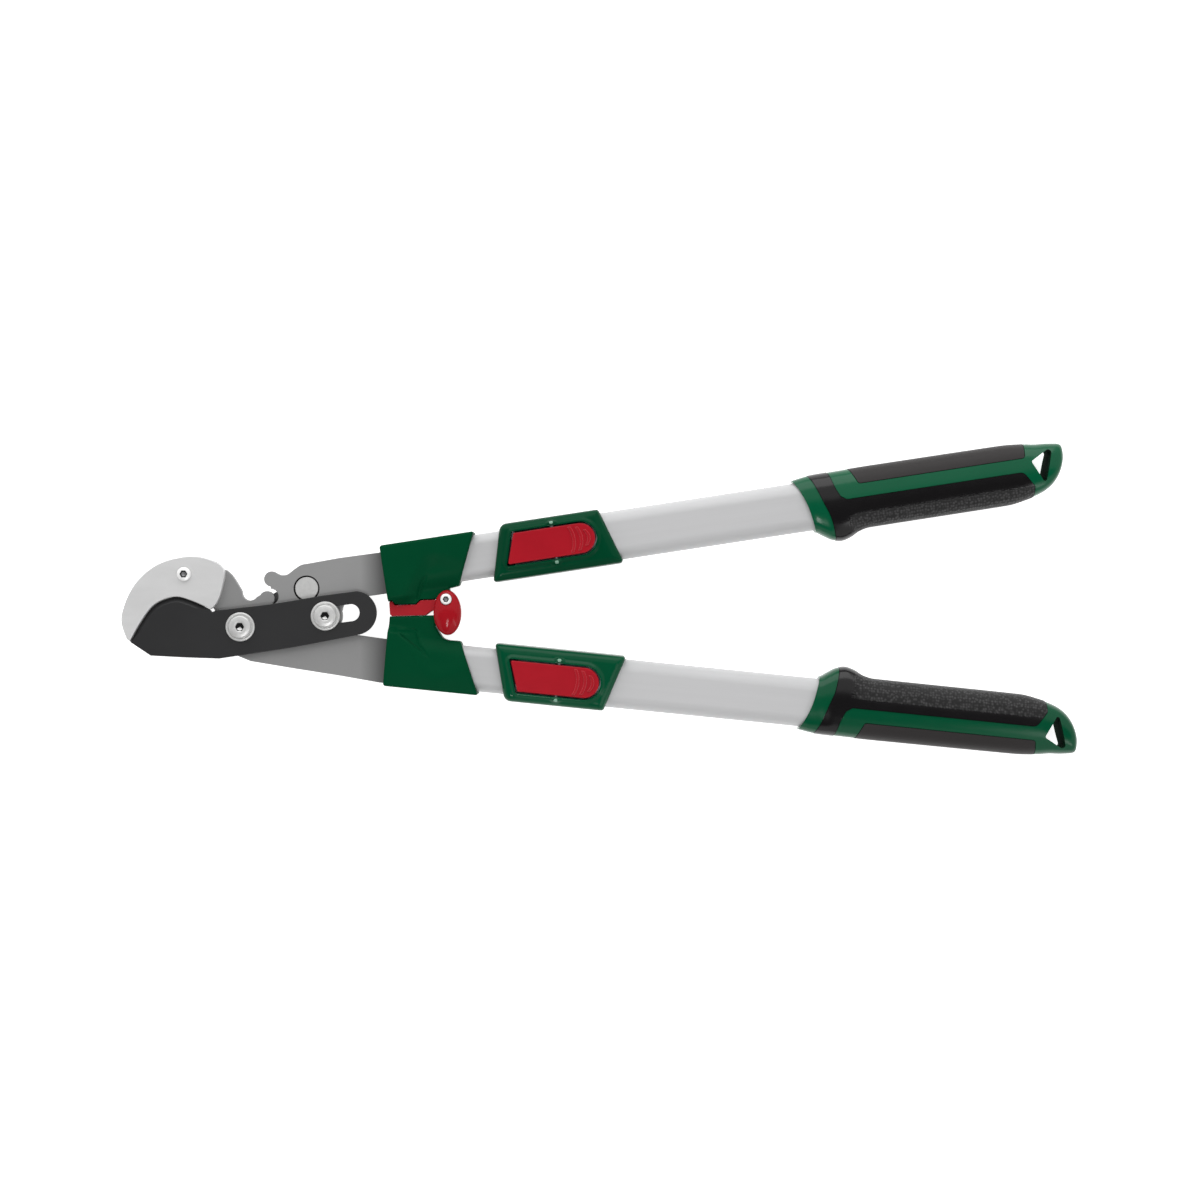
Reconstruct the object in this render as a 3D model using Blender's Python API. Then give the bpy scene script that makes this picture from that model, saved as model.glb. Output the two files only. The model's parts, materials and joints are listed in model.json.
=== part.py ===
# A geared bypass lopper with two telescopic handles, lying flat and closed.
# Sizes are in millimetres and degrees, and MM turns millimetres into Blender's metres.
# The drawing frame has its origin where the two handle axes meet, +X towards the grips along the
# line midway between the handles, +Y towards the upper handle and +Z out of the front face.
import math

import bmesh
import bpy

MM = 0.001

# Overall layout
ORIGIN_FROM_AXES = (405.83, -0.23)  # the middle of the tool's box, in the drawing frame
HALF_ANGLE = 7.22  # of each handle to the line midway between them
TRAVEL = 300.0  # of each telescopic handle
GAP = 0.3  # between pieces that touch

# Geared head
PIVOT = (149.5, -5.4)  # main bolt, which carries hook arm, blade and carrier
CENTRE_DISTANCE = 54.2  # between the two gear centres
CENTRE_ANGLE = 29.0  # of the line from the main bolt to the gear pin
SLIDE_FROM_GEAR = (24.3, -55.7)  # slide bolt from the gear pin, as distance and angle
PITCH_RADIUS = CENTRE_DISTANCE / 2
FIRST_TOOTH = 17.5  # the hook arm's tooth, from the line of centres
TOOTH_TO_GAP = 28.2
TOOTH_RADIUS = 5.5
TOOTH_CLEARANCE = 0.35
TOOTH_GAP_DEPTH = 1.6  # how far a gap's centre lies inside the pitch circle
ARM_HALF = 2.5  # half the arm plates' thickness
CARRIER_THICKNESS = 3.5
CARRIER_RADIUS = 9.4
BLADE_THICKNESS = 4.0
FACE_PLATE_THICKNESS = 4.5
BLADE_TO_FACE_PLATE = 0.6
SLOT_RADIUS = 6.1
SLOT_ROOM = 1.0  # of the slot's near end beyond the slide bolt at rest
SLOT_LENGTH = 19.5  # between the slot's end centres
BUSH_RADIUS = 5.4
DISC_RADIUS = 20.5  # of the hook arm round the main bolt
BOSS_RADIUS = 11.5  # of the gear arm round the slide bolt

# Bolts, as radii, and their nuts as width across corners by height
BOLT_FLANGE = 10.4
BOLT_FLANGE_HEIGHT = 1.4
BOLT_DISC = 8.2
BOLT_DISC_HEIGHT = 2.2
BOLT_CHAMFER = 0.7
BOLT_SOCKET = 3.3
BOLT_END = 0.6  # that shows behind a nut
PIVOT_SHANK = 5.0
PIVOT_NUT = (17.0, 5.2)
SLIDE_SHANK = 4.0
SLIDE_NUT = (14.4, 5.2)
PIN_HEAD = 8.3
PIN_HEAD_HEIGHT = 1.5
PIN_REAR_HEIGHT = 2.0
PIN_SHANK = 4.7
PLATE_SCREW = (110.3, 33.4)
PLATE_SCREW_SHANK = 2.2
PLATE_SCREW_HEAD = 5.0
PLATE_SCREW_HEIGHT = 1.8
PLATE_SCREW_SOCKET = 1.8
PLATE_NUT = (9.0, 3.6)

# Tubes: the outer one's width across the tool by height, and the wall of both
OUTER_TUBE = (35.6, 20.0)
TUBE_WALL = 1.5
STANDOFF = 25.9  # of the retracted outer tube from the collar
LEAST_OVERLAP = 39.7  # of the two tubes, fully extended
TUBE_END_ROOM = 11.0  # from the inner tube's rear end to the outer tube's, retracted
TUBE_SETBACK = 8.8  # of the inner tube's front end from the collar's front edge
LOCK_STEPS = 5
RIVET_SETBACKS = (29.0, 12.0)  # from the tongue's end
RIVET_SHANK = 2.5
RIVET_HEAD = 4.4
RIVET_HEAD_HEIGHT = 1.5
PLUG_LENGTH = 18.0  # of a tube plug in its tube
PLUG_FLANGE = 3.7

# Arm ends, from the handle's axis
ARM_EDGES = {-1: (-15.1, 16.6), 1: (-16.3, 13.7)}  # inner and outer edge, lower and upper arm
SHANK_SHOWS = 3.7  # of the straight shank, ahead of the collar
SHOULDER_DEPTH = 4.3  # in the collar
TONGUE_HALF = 11.5
TONGUE_LENGTH = 41.0  # in the inner tube

# Collars
COLLAR_FRONT = 255.2
COLLAR_LENGTH = 68.2
COLLAR_WALL = 2.2  # beside the inner tube
COLLAR_TOP = 13.5
SLEEVE_WALL = 2.4  # over the inner tube
WING_HALF = 6.3
LOWER_WING_END = -1.1
BUMPER_TOP = 7.3
BUMPER_END = -0.7
LATCH_FROM_WING = (41.3, 10.6)  # the latch screw, from the wings' front edge
LATCH_SCREW_SHANK = 2.0
LATCH_SCREW_HEAD = 4.0
LATCH_SCREW_SEAT = 12.2
LATCH_FROM_SCREW = (0.5, -9.6)  # the latch's middle
LATCH_SIZE = (10.0, 16.1)  # half its width and half its length
LATCH_BOTTOM = 6.7
LATCH_TOP = 13.9
CATCH_REACH = 19.5  # from the latch screw to the catch peg
CATCH_REST = -87.5  # where the peg lies at rest, as an angle about the screw
CATCH_TURN = 18.0  # that brings the peg under the lower collar's lug
PEG_RADIUS = 2.6
PEG_BOTTOM = -3.0
CATCH_CLEARANCE = 0.5

# Clamps, measured from the outer tube's front end, its sides and the middle plane
CLAMP_LENGTHS = (17.9, 77.0)  # ahead of and behind the tube's front end
CLAMP_WALL = 2.5  # beside the outer tube
CLAMP_TOP = 15.2
CLAMP_FRAME = 16.6
CLAMP_FRAME_WIDTH = 3.0
BUSHING_LENGTH = 6.0
BUTTON_CENTRE = 1.5  # off the handle's axis, outward
BUTTON_HALF = 10.8
BUTTON_BOTTOM = 13.2
BUTTON_TOP = 16.8
BUTTON_GAP = 0.7
BUTTON_PIN = (29.7, 13.4)  # behind the tube's front end and up
BUTTON_PIN_RADIUS = 1.05
BUTTON_PIN_HALF = 15.0  # of the pin's length
BUTTON_BOSS = 2.7
SPRING_PLACE = 49.7
SPRING_RECESS = 2.0
SPRING_RADIUS = 2.5
SPRING_WIRE = 0.35
SPRING_TURNS = 3
SPRING_STEPS = 8  # points on each turn
LOCK_PIN = 6.7
LOCK_PIN_RADIUS = 3.0
LOCK_PIN_ROOM = 0.9  # round the pin in the tube, because it tilts with the button
LOCK_PIN_HEAD = 4.0
LOCK_PIN_RECESS = 1.5
LOCK_HOLE_RADIUS = 3.5

# Grips, measured from the outer tube's rear end, its sides and its top
GRIP_CORNER = 9.5
GRIP_LENGTH_ON_TUBE = 139.7
GRIP_FRONT_LEAN = 0.289
GRIP_OVER_TUBE = 4.5
SOFT_DEPTH = 2.2
PALM_PROUD = 0.5
STRIP_PROUD = 0.3
LOWER_GRIP_LONGER = 4.8  # than the upper one, as photographed
GRIP_LENGTHENS = (-100.0, 110.0)  # from where along the grip, and over what length

FAR = 40.0  # how far a cutter runs past what it cuts


def polar(centre, radius, angle):
    turn = math.radians(angle)
    return (centre[0] + radius * math.cos(turn), centre[1] + radius * math.sin(turn))


HALF_THICKNESS = OUTER_TUBE[1] / 2 + GRIP_OVER_TUBE
GEAR = polar(PIVOT, CENTRE_DISTANCE, CENTRE_ANGLE)
SLIDE = polar(GEAR, *SLIDE_FROM_GEAR)
INNER_TUBE = tuple(size - 2 * (TUBE_WALL + GAP) for size in OUTER_TUBE)
INNER_TUBE_START = COLLAR_FRONT + TUBE_SETBACK
OUTER_TUBE_START = COLLAR_FRONT + COLLAR_LENGTH + STANDOFF
OUTER_TUBE_LENGTH = TRAVEL + LEAST_OVERLAP + TUBE_END_ROOM
INNER_TUBE_END = OUTER_TUBE_START + OUTER_TUBE_LENGTH - TUBE_END_ROOM
TONGUE_END = INNER_TUBE_START + TONGUE_LENGTH
RIVET_PLACES = [TONGUE_END - setback for setback in RIVET_SETBACKS]
WING_FRONT = COLLAR_FRONT + 1.2
LATCH_SCREW = (WING_FRONT + LATCH_FROM_WING[0], LATCH_FROM_WING[1])
LATCH_CENTRE = (LATCH_SCREW[0] + LATCH_FROM_SCREW[0], LATCH_SCREW[1] + LATCH_FROM_SCREW[1])
BLADE_BACK = ARM_HALF + GAP
CARRIER_BACK = -BLADE_BACK - CARRIER_THICKNESS
PIN_SEAT = ARM_HALF - PIN_HEAD_HEIGHT - 0.2  # the gear pin's head lies 0.2 mm under the arm's face


def arc(centre, radius, start, end, step=22.0):
    """Points on a circle from one angle to another, either way round."""
    count = max(1, round(abs(end - start) / step))
    return [polar(centre, radius, start + (end - start) * i / count) for i in range(count + 1)]


def smooth(points, parts=3):
    """Points on a curve that passes through each given point."""
    padded = [points[0], *points, points[-1]]
    curve = []
    for p, q, r, s in zip(padded, padded[1:], padded[2:], padded[3:]):
        for i in range(parts):
            curve.append(tuple(between(i / parts, *values) for values in zip(p, q, r, s)))
    return [*curve, points[-1]]


def between(t, a, b, c, d):
    """A cubic's value from b at t = 0 to c at t = 1."""
    square = 2 * a - 5 * b + 4 * c - d
    cube = 3 * b - a - 3 * c + d
    return (2 * b + (c - a) * t + square * t**2 + cube * t**3) / 2


def rounded(corners, step=30.0):
    """A closed outline whose corners (x, y, radius) are rounded off."""
    outline = []
    for i, (x, y, radius) in enumerate(corners):
        if radius == 0:
            outline.append((x, y))
            continue
        before = corners[i - 1]
        after = corners[(i + 1) % len(corners)]
        back = math.atan2(before[1] - y, before[0] - x)
        ahead = math.atan2(after[1] - y, after[0] - x)
        half = (ahead - back) % (2 * math.pi) / 2
        concave = half > math.pi / 2
        middle = back + half + (math.pi if concave else 0)
        opening = math.pi - half if concave else half
        reach = radius / math.sin(opening)
        centre = (x + reach * math.cos(middle), y + reach * math.sin(middle))
        sweep = 180 - 2 * math.degrees(opening)
        facing = math.degrees(middle) + 180
        turn = sweep / 2 if concave else -sweep / 2
        outline.extend(arc(centre, radius, facing - turn, facing + turn, step))
    return outline


def rounded_by(corners, by):
    """The rounded outline of corners that are first moved outward by a distance."""
    moved = grown([(x, y) for x, y, _ in corners], by)
    radii = [max(0.4, radius + by) if radius else 0 for _, _, radius in corners]
    return rounded([(x, y, radius) for (x, y), radius in zip(moved, radii)])


def area(outline):
    pairs = zip(outline, outline[1:] + outline[:1])
    return sum(a[0] * b[1] - b[0] * a[1] for a, b in pairs) / 2


def grown(outline, by):
    """The outline moved outward by a distance, or inward where it is negative."""
    sign = 1 if area(outline) > 0 else -1
    moved = []
    for before, here, after in zip(outline[-1:] + outline[:-1], outline, outline[1:] + outline[:1]):
        first = math.atan2(here[1] - before[1], here[0] - before[0])
        second = math.atan2(after[1] - here[1], after[0] - here[0])
        nx = math.sin(first) + math.sin(second)
        ny = -math.cos(first) - math.cos(second)
        scale = sign * by / (1 + math.cos(first - second))
        moved.append((here[0] + nx * scale, here[1] + ny * scale))
    return moved


def mirrored(outline, sign):
    """A handle's outline, drawn for the upper handle, for either handle."""
    return [(x, y * sign) for x, y in outline]


def on_handle(sign, along, outward):
    """A point given along and out from a handle's axis, in the drawing frame."""
    turn = math.radians(HALF_ANGLE)
    return (
        along * math.cos(turn) - outward * math.sin(turn),
        sign * (along * math.sin(turn) + outward * math.cos(turn)),
    )


def srgb(red, green, blue):
    return [(((v / 255) + 0.055) / 1.055) ** 2.4 for v in (red, green, blue)]


def material(name, colour, roughness, metallic=0.0):
    made = bpy.data.materials.get(name) or bpy.data.materials.new(name)
    made.use_nodes = True
    shader = made.node_tree.nodes["Principled BSDF"]
    shader.inputs["Base Color"].default_value = (*colour, 1)
    shader.inputs["Roughness"].default_value = roughness
    shader.inputs["Metallic"].default_value = metallic
    return made


def frame(name, parent, origin=(0, 0, 0), turn=0.0):
    """An empty at a place in its parent's frame, turned about Z."""
    empty = bpy.data.objects.new(name, None)
    bpy.context.scene.collection.objects.link(empty)
    empty.parent = parent
    empty.location = [v * MM for v in origin]
    empty.rotation_euler.z = math.radians(turn)
    return empty


def hinge(name, parent, place):
    """An empty on a joint's axis, and below it a frame that lies where the parent's does."""
    axis = frame(name, parent, place)
    return frame(name + "_frame", axis, [-v for v in place])


def skin(name, loops, parent, look=None, ring=False):
    """A solid through loops of points, with both ends capped or, as a ring, joined up."""
    mesh = bpy.data.meshes.new(name)
    form = bmesh.new()
    rows = [[form.verts.new([v * MM for v in point]) for point in loop] for loop in loops]
    pairs = list(zip(rows, rows[1:]))
    if ring:
        pairs.append((rows[-1], rows[0]))
    else:
        form.faces.new(rows[0])
        form.faces.new(rows[-1])
    for low, high in pairs:
        for i in range(len(low)):
            j = (i + 1) % len(low)
            form.faces.new((low[i], low[j], high[j], high[i]))
    bmesh.ops.recalc_face_normals(form, faces=form.faces)
    form.to_mesh(mesh)
    form.free()
    mesh.shade_smooth()
    mesh.set_sharp_from_angle(angle=math.radians(35))
    made = bpy.data.objects.new(name, mesh)
    bpy.context.scene.collection.objects.link(made)
    made.parent = parent
    if look:
        mesh.materials.append(look)
    return made


def level(outline, z):
    return [(x, y, z) for x, y in outline]


def plate(name, outline, bottom, top, parent, look=None, chamfer=0.0):
    """An outline raised from one height to another, with its edges broken."""
    if chamfer == 0:
        return skin(name, [level(outline, bottom), level(outline, top)], parent, look)
    inner = grown(outline, -chamfer)
    loops = [
        level(inner, bottom),
        level(outline, bottom + chamfer),
        level(outline, top - chamfer),
        level(inner, top),
    ]
    return skin(name, loops, parent, look)


def turned(name, profile, centre, parent, look=None, count=24, ring=False):
    """A solid turned about a vertical axis, from (radius, height) pairs."""
    loops = [level(arc(centre, radius, 0, 360, 360 / count)[:-1], z) for radius, z in profile]
    return skin(name, loops, parent, look, ring)


def rod(name, radius, start, end, along, height, parent, look=None, count=16):
    """A round bar that crosses the handle."""
    circle = arc((along, height), radius, 0, 360, 360 / count)[:-1]
    return skin(name, [[(x, y, z) for x, z in circle] for y in (start, end)], parent, look)


def combine(piece, other, operation):
    modifier = piece.modifiers.new(operation.lower(), "BOOLEAN")
    modifier.operation = operation
    modifier.solver = "EXACT"
    modifier.object = other
    other.hide_render = True
    other.display_type = "WIRE"
    return piece


def cut(piece, other):
    return combine(piece, other, "DIFFERENCE")


def add(piece, other):
    return combine(piece, other, "UNION")


def keep(piece, other):
    return combine(piece, other, "INTERSECT")


def bore(piece, centre, radius, bottom=-FAR, count=24):
    """A round hole from a height, or from below the piece, to above it."""
    profile = [(radius, bottom), (radius, FAR)]
    return cut(piece, turned(piece.name + "_bore", profile, centre, piece.parent, count=count))


def hook_outline():
    """The hook's outer edge, from its tip over the top to the corner above the teeth."""
    tip = [(68.6, -13.6), (64.6, 3.8), (74.4, 26.4)]
    return smooth([*tip, (92.0, 40.9), (114.8, 45.9), (131.6, 42.0), (138.4, 35.6)])


def cutting_edge():
    """The line that blade and face plate share, from the tip to the throat."""
    tip = [(70.1, -13.6), (77.4, -1.0), (88.0, 12.0)]
    return smooth([*tip, (102.2, 17.3), (113.6, 14.8), (127.5, 8.4)])


def tooth_gap(centre, angle, start, end):
    """The rounded gap between two teeth, along a gear's radius at an angle."""
    bottom = polar(centre, PITCH_RADIUS - TOOTH_GAP_DEPTH, angle)
    return arc(bottom, TOOTH_RADIUS + TOOTH_CLEARANCE, angle + start, angle + end)


def shank(sign, shows=SHANK_SHOWS):
    """An arm's end from its inner edge to its outer edge: a shoulder, then a tongue in the tube."""
    inner, outer = ARM_EDGES[sign]
    start, shoulder = COLLAR_FRONT - shows, COLLAR_FRONT + SHOULDER_DEPTH
    ends = [
        (start, inner),
        (shoulder, inner),
        (shoulder, -TONGUE_HALF),
        (TONGUE_END, -TONGUE_HALF),
        (TONGUE_END, TONGUE_HALF),
        (shoulder, TONGUE_HALF),
        (shoulder, outer),
        (start, outer),
    ]
    return [on_handle(sign, along, outward) for along, outward in ends]


def hook_arm_outline():
    mouth = [(133.0, 9.3), (130.6, 11.0), (122.0, 9.8), (113.0, 12.6), (102.2, 14.7), (89.8, 9.9)]
    first_gap = CENTRE_ANGLE + FIRST_TOOTH + TOOTH_TO_GAP
    second_gap = CENTRE_ANGLE + FIRST_TOOTH - TOOTH_TO_GAP
    tooth = polar(PIVOT, PITCH_RADIUS, CENTRE_ANGLE + FIRST_TOOTH)
    return [
        *hook_outline(),
        *smooth([(138.4, 35.6), (142.3, 31.9), (147.4, 25.1)], 2)[1:],
        *tooth_gap(PIVOT, first_gap, 90, 250),
        *arc(tooth, TOOTH_RADIUS, 150, -45),
        *tooth_gap(PIVOT, second_gap, 90, 270),
        (179.5, -12.0),
        (190.0, -13.6),
        (COLLAR_FRONT - 22.0, -13.6),
        *shank(-1),
        (COLLAR_FRONT - 34.5, -42.6),
        (187.0, -36.4),
        (155.4, -30.3),
        *arc(PIVOT, DISC_RADIUS, 248, 142),
        *mouth,
        (79.6, -2.6),
        (72.3, -14.4),
    ]


def gear_arm_outline():
    gap_angle = CENTRE_ANGLE + 180 - FIRST_TOOTH
    lobe = polar(GEAR, PITCH_RADIUS - 0.4, gap_angle - TOOTH_TO_GAP)
    tooth = polar(GEAR, PITCH_RADIUS, gap_angle + TOOTH_TO_GAP)
    return [
        *arc(lobe, TOOTH_RADIUS, 262, 50),
        *smooth([(178.3, 31.1), (183.0, 31.2), (188.5, 35.0), (193.5, 38.0), (199.0, 38.9)], 2),
        (COLLAR_FRONT - 34.2, 42.3),
        *shank(1)[::-1],
        (COLLAR_FRONT - 13.0, 14.4),
        (224.3, 12.4),
        *arc(SLIDE, BOSS_RADIUS, 15, -150),
        *arc(tooth, TOOTH_RADIUS, 300, 130),
        *tooth_gap(GEAR, gap_angle, 90, 255),
    ]


def blade_outline():
    edge = [(x, y - BLADE_TO_FACE_PLATE) for x, y in cutting_edge()]
    tail = (231.4, 2.3)
    return [
        *edge,
        (129.3, 5.6),
        (131.9, 6.7),
        (173.1, 10.5),
        (209.0, 15.5),
        *arc(tail, 15.8, 84, -79),
        (208.2, -17.6),
        (174.9, -22.7),
        *rounded([(148.3, -26.0, 0), (133.7, -27.8, 4), (108.6, -26.3, 0)])[:-1],
        (84.6, -24.4),
    ]


def slot_outline():
    x, y = SLIDE[0] - PIVOT[0], SLIDE[1] - PIVOT[1]
    angle = math.degrees(math.atan2(y, x))
    start = math.hypot(x, y) - SLOT_ROOM
    near, far = (polar(PIVOT, reach, angle) for reach in (start, start + SLOT_LENGTH))
    return arc(far, SLOT_RADIUS, angle - 90, angle + 90) + arc(near, SLOT_RADIUS, angle + 90, angle + 270)


def face_plate_outline():
    return [
        *grown(hook_outline(), 0.3)[1:-2],
        *arc((134.9, 35.6), 4.6, 48, 0),
        *smooth([(139.6, 33.0), (138.9, 27.0), (136.2, 18.7), (132.0, 11.6), (128.4, 8.7)], 2),
        *cutting_edge()[::-1],
    ]


def section(left, right, half, radius, parts=4):
    """A rounded box across a handle, as (y, z) pairs."""
    corners = ((right, half, 0), (left, half, 90), (left, -half, 180), (right, -half, 270))
    points = []
    for y, z, angle in corners:
        centre = (y - math.copysign(radius, y), z - math.copysign(radius, z))
        points += arc(centre, radius, angle, angle + 90, 90 / parts)
    return points


def oval(size, more=0.0):
    """A tube's section, grown by a clearance."""
    width, height = size[0] / 2 + more, size[1] / 2 + more
    return section(-width, width, height, height - 0.4)


def across(points, along):
    return [(along, y, z) for y, z in points]


def tube(name, size, reach, parent, look):
    outer, inner = oval(size), oval(size, -TUBE_WALL)
    start, end = reach
    loops = [across(outer, start), across(outer, end), across(inner, end), across(inner, start)]
    return skin(name, loops, parent, look, ring=True)


def bar(name, size, more, start, end, parent, look=None):
    """A solid bar with a tube's section."""
    return skin(name, [across(oval(size, more), along) for along in (start, end)], parent, look)


def zinc():
    return material("fastener_zinc", srgb(200, 200, 200), 0.3, 1.0)


def hexagon(centre, radius):
    return arc(centre, radius, 0, 300, 60)


def make_bolt(name, centre, shank_radius, bottom, parent):
    """A bolt with a flange, a raised disc and a hexagon socket in its head."""
    seat = BLADE_BACK + BLADE_THICKNESS + GAP
    step = seat + BOLT_FLANGE_HEIGHT
    top = step + BOLT_DISC_HEIGHT
    profile = [
        (shank_radius, bottom),
        (shank_radius, seat),
        (BOLT_FLANGE, seat),
        (BOLT_FLANGE, step - BOLT_CHAMFER),
        (BOLT_FLANGE - BOLT_CHAMFER, step),
        (BOLT_DISC, step),
        (BOLT_DISC, top - BOLT_CHAMFER),
        (BOLT_DISC - BOLT_CHAMFER, top),
    ]
    bolt = turned(name, profile, centre, parent, zinc())
    return cut(bolt, plate(name + "_socket", hexagon(centre, BOLT_SOCKET), step, top + FAR, parent))


def make_nut(name, centre, nut, shank_radius, top, parent):
    """A nut under a height. It returns the height at which its bolt ends."""
    across, height = nut
    made = plate(name, hexagon(centre, across / 2), top - height, top, parent, zinc(), chamfer=0.4)
    bore(made, centre, shank_radius + GAP)
    return top - height - BOLT_END


def make_hook(root):
    grey = material("arm_steel", srgb(138, 138, 138), 0.45, 0.6)
    silver = material("face_plate_steel", srgb(202, 202, 202), 0.35, 0.7)
    arm = plate("hook_arm", hook_arm_outline(), -ARM_HALF, ARM_HALF, root, grey)
    bore(arm, PIVOT, PIVOT_SHANK + GAP)
    bore(arm, PLATE_SCREW, PLATE_SCREW_SHANK + GAP, count=16)
    bore_rivets(arm, -1)
    top = BLADE_BACK + FACE_PLATE_THICKNESS
    face = plate("hook_face_plate", face_plate_outline(), BLADE_BACK, top, root, silver)
    bore(face, PLATE_SCREW, PLATE_SCREW_SHANK + GAP, count=16)
    bottom = make_nut("face_plate_nut", PLATE_SCREW, PLATE_NUT, PLATE_SCREW_SHANK, -BLADE_BACK, root)
    seat = top + GAP
    profile = [
        (PLATE_SCREW_SHANK, bottom),
        (PLATE_SCREW_SHANK, seat),
        (PLATE_SCREW_HEAD, seat),
        (PLATE_SCREW_HEAD, seat + PLATE_SCREW_HEIGHT / 2),
        (PLATE_SCREW_HEAD * 0.75, seat + PLATE_SCREW_HEIGHT),
    ]
    screw = turned("face_plate_screw", profile, PLATE_SCREW, root, zinc(), 20)
    socket = hexagon(PLATE_SCREW, PLATE_SCREW_SOCKET)
    cut(screw, plate("face_plate_screw_socket", socket, seat + PLATE_SCREW_HEIGHT / 3, FAR, root))


def bore_rivets(arm, sign):
    for along in RIVET_PLACES:
        bore(arm, on_handle(sign, along, 0), RIVET_SHANK + GAP, count=12)


def make_carrier(carrier):
    """The link behind the arms that holds the gear centres apart, and the pin of the second one."""
    dark = material("carrier_steel", srgb(42, 42, 42), 0.5, 0.5)
    outline = arc(PIVOT, CARRIER_RADIUS, CENTRE_ANGLE + 90, CENTRE_ANGLE + 270)
    outline += arc(GEAR, CARRIER_RADIUS, CENTRE_ANGLE - 90, CENTRE_ANGLE + 90)
    link = plate("carrier_link", outline, CARRIER_BACK, -BLADE_BACK, carrier, dark, chamfer=0.5)
    bore(link, PIVOT, PIVOT_SHANK + GAP)
    bore(link, GEAR, PIN_SHANK + GAP)
    rear = CARRIER_BACK - GAP
    profile = [
        (PIN_HEAD - BOLT_CHAMFER, rear - PIN_REAR_HEIGHT),
        (PIN_HEAD, rear - PIN_REAR_HEIGHT + BOLT_CHAMFER),
        (PIN_HEAD, rear),
        (PIN_SHANK, rear),
        (PIN_SHANK, PIN_SEAT),
        (PIN_HEAD, PIN_SEAT),
        (PIN_HEAD, PIN_SEAT + PIN_HEAD_HEIGHT - BOLT_CHAMFER / 2),
        (PIN_HEAD - BOLT_CHAMFER / 2, PIN_SEAT + PIN_HEAD_HEIGHT),
    ]
    turned("gear_pin", profile, GEAR, carrier, zinc())


def make_pivots(root, upper):
    """The main bolt, and the slide bolt with its bush in the blade's slot."""
    bottom = make_nut("pivot_nut", PIVOT, PIVOT_NUT, PIVOT_SHANK, CARRIER_BACK - GAP, root)
    make_bolt("pivot_bolt", PIVOT, PIVOT_SHANK, bottom, root)
    bottom = make_nut("slide_nut", SLIDE, SLIDE_NUT, SLIDE_SHANK, -BLADE_BACK, upper)
    make_bolt("slide_bolt", SLIDE, SLIDE_SHANK, bottom, upper)
    top, bore_radius = BLADE_BACK + BLADE_THICKNESS, SLIDE_SHANK + GAP
    ring = [(BUSH_RADIUS, BLADE_BACK), (BUSH_RADIUS, top), (bore_radius, top), (bore_radius, BLADE_BACK)]
    turned("slide_bush", ring, SLIDE, upper, zinc(), ring=True)


def make_gear_arm(upper):
    grey = material("gear_arm_steel", srgb(145, 145, 145), 0.45, 0.6)
    arm = plate("gear_arm", gear_arm_outline(), -ARM_HALF, ARM_HALF, upper, grey)
    bore(arm, GEAR, PIN_SHANK + GAP)
    bore(arm, GEAR, PIN_HEAD + GAP, PIN_SEAT - GAP)
    bore(arm, SLIDE, SLIDE_SHANK + GAP)
    bore_rivets(arm, 1)


def make_blade(moving):
    black = material("blade_coating", srgb(50, 50, 52), 0.4, 0.3)
    blade = plate("blade", blade_outline(), BLADE_BACK, BLADE_BACK + BLADE_THICKNESS, moving, black)
    bore(blade, PIVOT, PIVOT_SHANK + GAP)
    cut(blade, plate("blade_slot", slot_outline(), 0, FAR, moving))


def make_collar(name, sign, axis, wing):
    """A sleeve on the tube's end with a plug in it, and a thinner wing towards the other handle."""
    green = material("collar_green_plastic", srgb(0, 66, 38), 0.45)
    side, rear = INNER_TUBE[0] / 2, COLLAR_FRONT + COLLAR_LENGTH
    outer = side + COLLAR_WALL
    raised = [
        (COLLAR_FRONT, outer, 2),
        (rear, outer, 2),
        (rear - 10.6, -side / 2 - 0.5, 2),
        (rear - 38.8, -side / 2 - 0.5, 3),
        (rear - 49.4, -side - 7.6, 2),
        (COLLAR_FRONT, -side - 7.6, 0),
    ]
    low = [
        (COLLAR_FRONT + 1, side - 1, 0),
        (rear - 5.4, side - 1, 0),
        (rear - 16.2, 0.3 - outer, 2.5),
        (COLLAR_FRONT + 1, 0.3 - outer, 0),
    ]
    collar = handle_plate(name, rounded(raised), sign, -HALF_THICKNESS, COLLAR_TOP, axis, green, 1.5)
    sleeve = rounded(low)
    top = INNER_TUBE[1] / 2 + SLEEVE_WALL
    add(collar, handle_plate(name + "_sleeve", sleeve, sign, -HALF_THICKNESS, top, axis, chamfer=1))
    add(collar, plate(name + "_wing", wing, -WING_HALF, WING_HALF, axis.parent))
    start, end = INNER_TUBE_START - GAP, rear + FAR
    outer, inner = oval(INNER_TUBE, GAP), oval(INNER_TUBE, -TUBE_WALL - GAP)
    loops = [across(outer, start), across(outer, end), across(inner, end), across(inner, start)]
    cut(collar, skin(name + "_tube_seat", loops, axis, ring=True))
    cut(collar, bar(name + "_plug_end", INNER_TUBE, 0, TONGUE_END + 1, end, axis))
    tongue = grown(shank(sign, FAR), GAP)
    cut(collar, plate(name + "_tongue_slot", tongue, -BLADE_BACK, BLADE_BACK, axis.parent))
    head = INNER_TUBE[1] / 2
    room = RIVET_HEAD_HEIGHT + 3 * GAP
    for along in RIVET_PLACES:
        profile = [(RIVET_HEAD + GAP, head + room), (RIVET_HEAD + GAP, head), (RIVET_SHANK + GAP, head)]
        cut(collar, turned(name + "_rivet_room", both_ends(profile), (along, 0), axis, count=12))
    return collar


def both_ends(profile):
    """A turned profile from its upper half, top first, mirrored below the middle plane."""
    return [(radius, -height) for radius, height in profile] + profile[::-1]


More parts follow.
